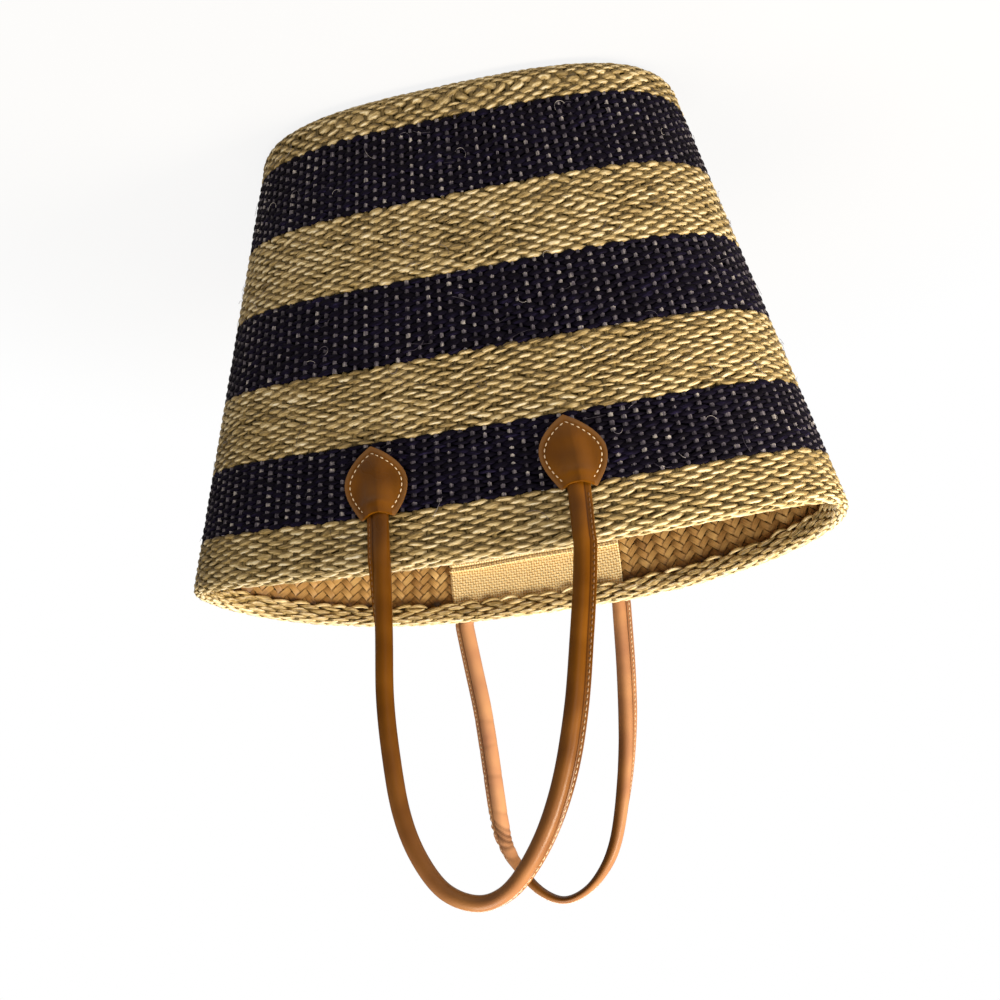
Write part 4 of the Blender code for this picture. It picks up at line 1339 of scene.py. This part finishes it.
def leg_facts(place):
    """Half spacing of the legs, depth of their centre, height of the hinge and of the tab's mouth."""
    half = (TAB_SPACING[place] - HANDLE_FIN) / 2
    at = np.array([half])
    rim = float(rim_height(at)[0])
    depth = float(wall_depth(at, rim_height(at))[0]) + 2 * CLEARANCE + HANDLE_RADIUS
    mouth = float(rim_height(at + HANDLE_FIN / 2)[0]) - TAB_MOUTH_BELOW_RIM
    return half, depth, rim + HINGE_OVER_RIM, mouth


def handle_line(place):
    """Centre line from one tail, over the top, to the other tail, in even steps."""
    half, depth, hinge, mouth = leg_facts(place)
    bottom = mouth - TAB_TAIL_SHARE * TAB_LENGTH + 2 * CLEARANCE
    y = SIDES[place] * depth
    points = [(x * half, y, hinge + z * HANDLE_RISE[place]) for x, z in ROUTES[place]]
    loop = curve_through([(half, y, hinge - OVERRUN), *points, (-half, y, hinge - OVERRUN)])
    line = np.concatenate([[(half, y, bottom)], loop, [(-half, y, bottom)]])
    length = running_length(line)
    even = np.linspace(0, length[-1], round(length[-1] / HANDLE_STEP) + 1)
    return along_line(even, length, line), even


def frames(line, twist):
    """For each step of a line: the fin's direction and the direction across it."""
    run = np.gradient(line, axis=0)
    outward = unit(np.stack([run[:, 2], 0 * run[:, 0], -run[:, 0]], axis=-1))
    across = np.tile([0.0, 1.0, 0.0], (len(line), 1))
    cosine, sine = np.cos(twist)[:, None], np.sin(twist)[:, None]
    return outward * cosine + across * sine, across * cosine - outward * sine


PRESS_SPREAD = 0.45


def pressed(offset, outward, flat):
    """Press offsets from a handle's line flat across it, and spread them along Y as the leather gives."""
    through = (offset * outward).sum(axis=-1) * (1 - flat)
    offset = offset - through[:, None] * outward
    offset[:, 1] *= 1 + PRESS_SPREAD * (1 - flat)
    return offset


def press_tails(place, points):
    """Flatten what is below the rim towards the wall, down to the tail under the tab."""
    _, depth, hinge, mouth = leg_facts(place)
    side = SIDES[place]
    height = points[:, 2]
    low = height < hinge
    share = smooth((height - mouth) / (hinge - CLEARANCE - HINGE_OVER_RIM - mouth))
    along = np.maximum(0, (mouth - height) / TAB_LENGTH)
    full = 2 * HANDLE_RADIUS
    thick = tail_thickness(np.minimum(along, TAB_TAIL_SHARE)) * (1 - share) + full * share
    foot = (wall_depth(points[:, 0], height) + CLEARANCE) * (1 - share) + (depth - HANDLE_RADIUS) * share
    across = (side * points[:, 1] - depth + HANDLE_RADIUS) / full
    points[:, 1] = np.where(low, side * (foot + thick * across), points[:, 1])
    return points


def strip_section():
    """Outline of the rolled strip: out along one fin face, round the roll, back, and round inside."""
    tip = HANDLE_RADIUS + HANDLE_FIN
    turns = np.linspace(FIN_ROOT, 2 * math.pi - FIN_ROOT, 25)
    outer = [(HANDLE_RADIUS * math.cos(turn), HANDLE_RADIUS * math.sin(turn)) for turn in turns]
    inner_radius = HANDLE_RADIUS - LEATHER
    inner_start = math.asin(0.12 * MM / inner_radius)
    back = np.linspace(2 * math.pi - inner_start, inner_start, 15)
    inner = [(inner_radius * math.cos(turn), inner_radius * math.sin(turn)) for turn in back]
    rise = [(tip - 0.3 * MM, 0.06 * MM), (tip, 0.38 * MM), (tip, 0.85 * MM), (tip - 0.28 * MM, FIN_FACE),
            (tip - 1.5 * MM, FIN_FACE - 0.07 * MM), (HANDLE_RADIUS + 0.45 * MM, FIN_FACE)]
    fall = [(place, -offset) for place, offset in reversed(rise)]
    return np.array(rise + outer + fall + inner + rise[:1])


def sweep(name, place, section, line, even, twist, flat, swell=None, marks=()):
    """Sweep a closed section along a line, as a grid that is merged into a tube with closed ends.

    The swell and the marks are tables with a value for each ring and corner. Marks become attributes.
    """
    rings, corners = len(line), len(section)
    swept, grid = start_grid(name, corners - 1, rings - 1)
    corner = np.rint((grid[:, 0] + 0.5) * (corners - 1)).astype(int)
    ring = np.rint((grid[:, 1] + 0.5) * (rings - 1)).astype(int)
    fin, beside = frames(line, twist)
    outward, _ = frames(line, 0 * twist)
    out, off = section[corner, 0], section[corner, 1]
    offset = fin[ring] * out[:, None] + beside[ring] * off[:, None]
    if swell is not None:
        offset *= swell[ring, corner][:, None]
    points = line[ring] + pressed(offset, outward[ring], flat[ring])
    write_places(swept, press_tails(place, points))
    for mark, table in marks:
        set_points(swept, mark, table[ring, corner])
    around = running_length(section)
    uv = read_uv(swept)
    column = np.rint(uv[:, 0] * (corners - 1)).astype(int)
    write_uv(swept, "Hide", np.stack([around[column], uv[:, 1] * even[-1]], axis=-1))
    close_up(0.005 * MM, fill=True)
    bpy.ops.object.shade_smooth_by_angle(angle=math.radians(50))
    return swept


# For shares of the way from the right tail to the left one, the fin's turn about the roll in degrees.
TWISTS = {
    "front": ((0, 0), (0.10, 0), (0.20, 60), (0.34, 78), (0.52, 62), (0.66, 25), (0.80, 6), (1, 0)),
    "back": ((0, 0), (0.2, 8), (0.37, 16), (0.44, 60), (0.50, 85), (0.62, 75), (0.69, 50), (0.76, 25),
             (0.85, 8), (1, 0)),
}


def bend_at_hinge(piece):
    """Bake the piece's place into its points."""
    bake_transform(piece)


# Over the same way: how pale the leather is, from wax rubbed off at the front handle's grip and from
# painted light all over the back handle, and how much painted shade the inside of the loop has.
PALENESS_BY_WEAR_AND_LIGHT = {
    "front": ((0, 0.0), (0.25, 0.02), (0.38, 0.24), (0.52, 0.64), (0.64, 0.24), (0.76, 0.02), (1, 0.0)),
    "back": ((0, 1.0), (0.37, 1.0), (0.42, 0.75), (0.5, 0.8), (0.62, 1.0), (0.8, 1.0), (1, 0.9)),
}
INNER_SHADE = {
    "front": ((0, 0.6), (1, 0.6)),
    "back": ((0, 0.0), (0.40, 0.0), (0.44, 1.0), (0.58, 1.0), (0.72, 0.75), (0.85, 0.3), (1, 0.0)),
}
INNER_EDGE = 0.25
# Strength of the painted shade on the inside of the loop.
INNER_PAINTED_SHADE = 0.36
# Painted shade on the fin's side of the roll, which takes away some of its paleness.
FIN_SIDE_PAINTED_SHADE = 0.35
# How dark the seam thread is, partly soil and partly painted shade, from the hinge (0) to the top (1).
SEAM_SOIL_AND_SHADE = {
    "front": ((0.0, 0.97), (0.4, 0.88), (0.75, 0.5), (1.0, 0.2)),
    "back": ((0.0, 0.3), (1.0, 0.4)),
}
# How far the handle keeps its roundness, from tail to tail.
FLATTENED = {
    "front": ((0, 1.0), (0.34, 1.0), (0.52, 0.84), (0.68, 1.0), (1, 1.0)),
    "back": ((0, 1.0), (0.37, 1.0), (0.40, 0.85), (0.45, 0.62), (0.49, 0.52), (0.53, 0.56), (0.58, 0.8),
             (0.65, 0.92), (0.75, 1.0), (1, 1.0)),
}
# A crease has its distance along the handle, its slant, and its depth as a share of the roll.
CREASES = {
    "front": (),
    "back": ((122 * MM, 0.3, 0.02), (139 * MM, -0.2, 0.02), (158 * MM, 0.15, 0.03), (181 * MM, 0.4, 0.03),
             (189.5 * MM, 0.9, 0.09), (193.5 * MM, 0.9, 0.16), (197.5 * MM, 0.8, 0.16),
             (203 * MM, 0.3, 0.11), (210 * MM, 0.5, 0.06)),
}
CREASE_WIDTH = 1.35 * MM
CREASE_SHADE = 4.5
GROOVE_WIDTH = 0.75 * MM
GROOVE_SHADE = 0.85


def crease_depths(place, even, section):
    """Depth of the wrinkles as a share of the roll, for each ring and corner: thin slanting valleys."""
    depth = np.zeros((len(even), len(section)))
    for distance, slant, share in CREASES[place]:
        off_crease = even[:, None] - distance + slant * section[None, :, 0]
        depth += share * np.exp(-(off_crease / CREASE_WIDTH) ** 2)
    return depth


def inner_share(place, even, line, twist, section):
    """How far each ring and corner is on the inside of the loop, where painted shade keeps it dark."""
    fin, beside = frames(line, twist)
    outward, _ = frames(line, 0 * twist)
    reach = np.outer((fin * outward).sum(axis=1), section[:, 0])
    reach += np.outer((beside * outward).sum(axis=1), section[:, 1])
    inner = 1 - smooth(INNER_EDGE + reach / (2 * HANDLE_RADIUS))
    return inner * by_table(INNER_SHADE, place, even)[:, None]


def make_handle(place):
    """The leather of one handle, its filler cord and its seam stitches."""
    line, even = handle_line(place)
    twist = np.radians(by_table(TWISTS, place, even))
    flat = by_table(FLATTENED, place, even)
    section = strip_section()
    creases = crease_depths(place, even, section)
    # Painted shade in the groove where the fin meets the roll.
    off_root = np.hypot(section[:, 0] - HANDLE_RADIUS * math.cos(FIN_ROOT),
                        np.abs(section[:, 1]) - HANDLE_RADIUS * math.sin(FIN_ROOT))
    painted_shade = GROOVE_SHADE * np.exp(-(off_root / GROOVE_WIDTH) ** 2)
    inner = inner_share(place, even, line, twist, section)
    # Paleness from rubbed-off wax and painted light, none on the inside of the loop and less on the fin's
    # side, where painted shade falls.
    wear_and_light = by_table(PALENESS_BY_WEAR_AND_LIGHT, place, even)[:, None] * (1 - inner)
    wear_and_light *= 1 - FIN_SIDE_PAINTED_SHADE * smooth(section[:, 0] / HANDLE_RADIUS)
    # Painted shade on the inside of the loop and in the creases, added to the groove's painted shade.
    darkening = np.maximum(INNER_PAINTED_SHADE * inner, np.minimum(CREASE_SHADE * creases, GROOVE_SHADE))
    leather = sweep(f"handle_{place}_leather", place, section, line, even, twist, flat, 1 - creases,
                    marks=(("wear_and_light", wear_and_light), ("painted_shade", np.maximum(painted_shade, darkening))))
    settle(leather, tan_leather, "tan_leather", f"handle_{place}_sleeve", f"handle_{place}_end_left",
           f"handle_{place}_end_right", body=None)
    bend_at_hinge(leather)
    make_filler(place, line, even, flat)
    make_seam(place, line, even, twist, flat)
    print("length of the strip", place, round(even[-1], 3))


FILLER_RADIUS = 2.95 * MM
FILLER_TWIST = 14 * MM


def make_filler(place, line, even, flat):
    """Cotton cord of three strands, twisted, inside the free part of the handle."""
    _, _, hinge, _ = leg_facts(place)
    free = line[:, 2] > hinge + 1 * MM
    turn = np.linspace(0, 2 * math.pi, 19)
    radius = FILLER_RADIUS * (0.86 + 0.14 * np.abs(np.cos(1.5 * turn)))
    section = np.stack([radius * np.cos(turn), radius * np.sin(turn)], axis=-1)
    cord = sweep(f"handle_{place}_filler_cord", place, section, line[free], even[free],
                 even[free] / FILLER_TWIST * 2 * math.pi, flat[free])
    settle(cord, filler_cord, "filler_cord", f"handle_{place}_filler", body=None)
    bend_at_hinge(cord)


SEAM_PITCH = 3.1 * MM


def make_seam(place, line, even, twist, flat):
    """Stitches through the fin, seen on both of its faces, from one tab to the other."""
    _, _, _, mouth = leg_facts(place)
    above = even[line[:, 2] > mouth + 1.5 * MM]
    count = int((above[-1] - above[0]) / SEAM_PITCH)
    thread = make_thread_stitch(f"handle_{place}_seam_stitches")
    local = multiply(thread, 2 * count)
    index = np.arange(2 * count)
    face = np.where(index % 2 == 0, 1.0, -1.0)[:, None]
    middle = above[0] + (index // 2 + 0.5)[:, None] * SEAM_PITCH
    at = (middle + local[:, :, 0]).ravel()
    outward, _ = frames(line, 0 * twist)
    centre, fin, beside, outward = (
        along_line(at, even, table) for table in (line, *frames(line, twist), outward))
    off = (FIN_FACE + local[:, :, 2]) * face
    out = HANDLE_RADIUS + HANDLE_FIN * 0.52 + local[:, :, 1] * face
    offset = fin * out.reshape(-1, 1) + beside * off.reshape(-1, 1)
    points = press_tails(place, centre + pressed(offset, outward, np.interp(at, even, flat)))
    write_places(thread, points)
    share = (points[:, 2] - END_HEIGHT) / HANDLE_RISE[place]
    set_points(thread, "darkening", np.interp(share, *zip(*SEAM_SOIL_AND_SHADE[place])))
    settle(thread, cream_thread, "cream_thread", f"handle_{place}_seam_thread", body=None)
    bend_at_hinge(thread)


filler_cord, filler_shader = new_material("cotton filler cord", 0.8)
filler_shader.inputs["Base Color"].default_value = linear("#DCD2BE")
for place in SIDES:
    make_handle(place)

# %% [markdown]
# Soft studio light comes from wide lamps: a warm key at the side, a weak fill by the camera, one lamp
# above that shines into the mouth, and a rim light behind. The floor and the world are plain white where
# the camera sees them, and the floor keeps a faint shadow.

# %% Light and floor
WORLD_LIGHT = 0.075
FLOOR_CLEAR = 0.88


def add_lamp(name, place, power, size, colour):
    """A square area lamp that looks at the middle of the basket."""
    bpy.ops.object.select_all(action="DESELECT")
    bpy.ops.object.light_add(type="AREA", location=place)
    lamp = bpy.context.object
    lamp.name = name
    lamp.data.energy = power
    lamp.data.size = size
    lamp.data.color = linear(colour)[:3]
    lamp.rotation_euler = (CAMERA_TARGET - lamp.location).to_track_quat("-Z", "Y").to_euler()


add_lamp("key", (-0.75, -0.20, 0.85), 13.8, 0.35, "#FFF0D8")
add_lamp("fill", (-0.84, -1.5, 0.7), 5.3, 0.9, "#FFF4E6")
add_lamp("back", (0.2, 1.1, 0.9), 6, 0.6, "#FFF6EA")
add_lamp("top", (0.10, -0.34, 1.45), 18.0, 0.7, "#FFF4E4")


def make_world():
    """A white surround for the camera, and a weaker even light for the object."""
    world = bpy.data.worlds.new("studio")
    bpy.context.scene.world = world
    world.use_nodes = True
    tree = world.node_tree
    background = tree.nodes["Background"]
    background.inputs["Color"].default_value = (1, 1, 1, 1)
    ray = tree.nodes.new("ShaderNodeLightPath")
    strength = tree.nodes.new("ShaderNodeMapRange")
    strength.inputs["To Min"].default_value = WORLD_LIGHT
    strength.inputs["To Max"].default_value = 1.0
    tree.links.new(ray.outputs["Is Camera Ray"], strength.inputs["Value"])
    tree.links.new(strength.outputs["Result"], background.inputs["Strength"])


def make_floor():
    """A wide white floor under the basket."""
    bpy.ops.object.select_all(action="DESELECT")
    bpy.ops.mesh.primitive_plane_add(size=12)
    floor = bpy.context.object
    floor.name = "studio_floor"
    material, shader = new_material("matt white floor", 0.9)
    shader.inputs["Base Color"].default_value = linear("#C4C4C4")
    place = add(material, "ShaderNodeTexCoord")
    distance = add(material, "ShaderNodeVectorMath", {0: place.outputs["Object"]}, operation="LENGTH")
    whiten = add(material, "ShaderNodeMapRange", {
        "Value": distance.outputs["Value"], "From Min": 0.25, "From Max": 0.60,
        "To Min": FLOOR_CLEAR}, interpolation_type="SMOOTHSTEP")
    ray = add(material, "ShaderNodeLightPath")
    share = add(material, "ShaderNodeMath", {
        0: ray.outputs["Is Camera Ray"], 1: whiten.outputs["Result"]}, operation="MULTIPLY")
    glow = add(material, "ShaderNodeEmission", {"Color": (1, 1, 1, 1), "Strength": 1.0})
    mixed = add(material, "ShaderNodeMixShader", {
        0: share.outputs["Value"], 1: shader.outputs["BSDF"], 2: glow.outputs["Emission"]})
    output = material.node_tree.nodes["Material Output"]
    material.node_tree.links.new(mixed.outputs["Shader"], output.inputs["Surface"])
    floor.data.materials.append(material)


make_world()
make_floor()
bpy.context.scene.view_settings.view_transform = "Standard"
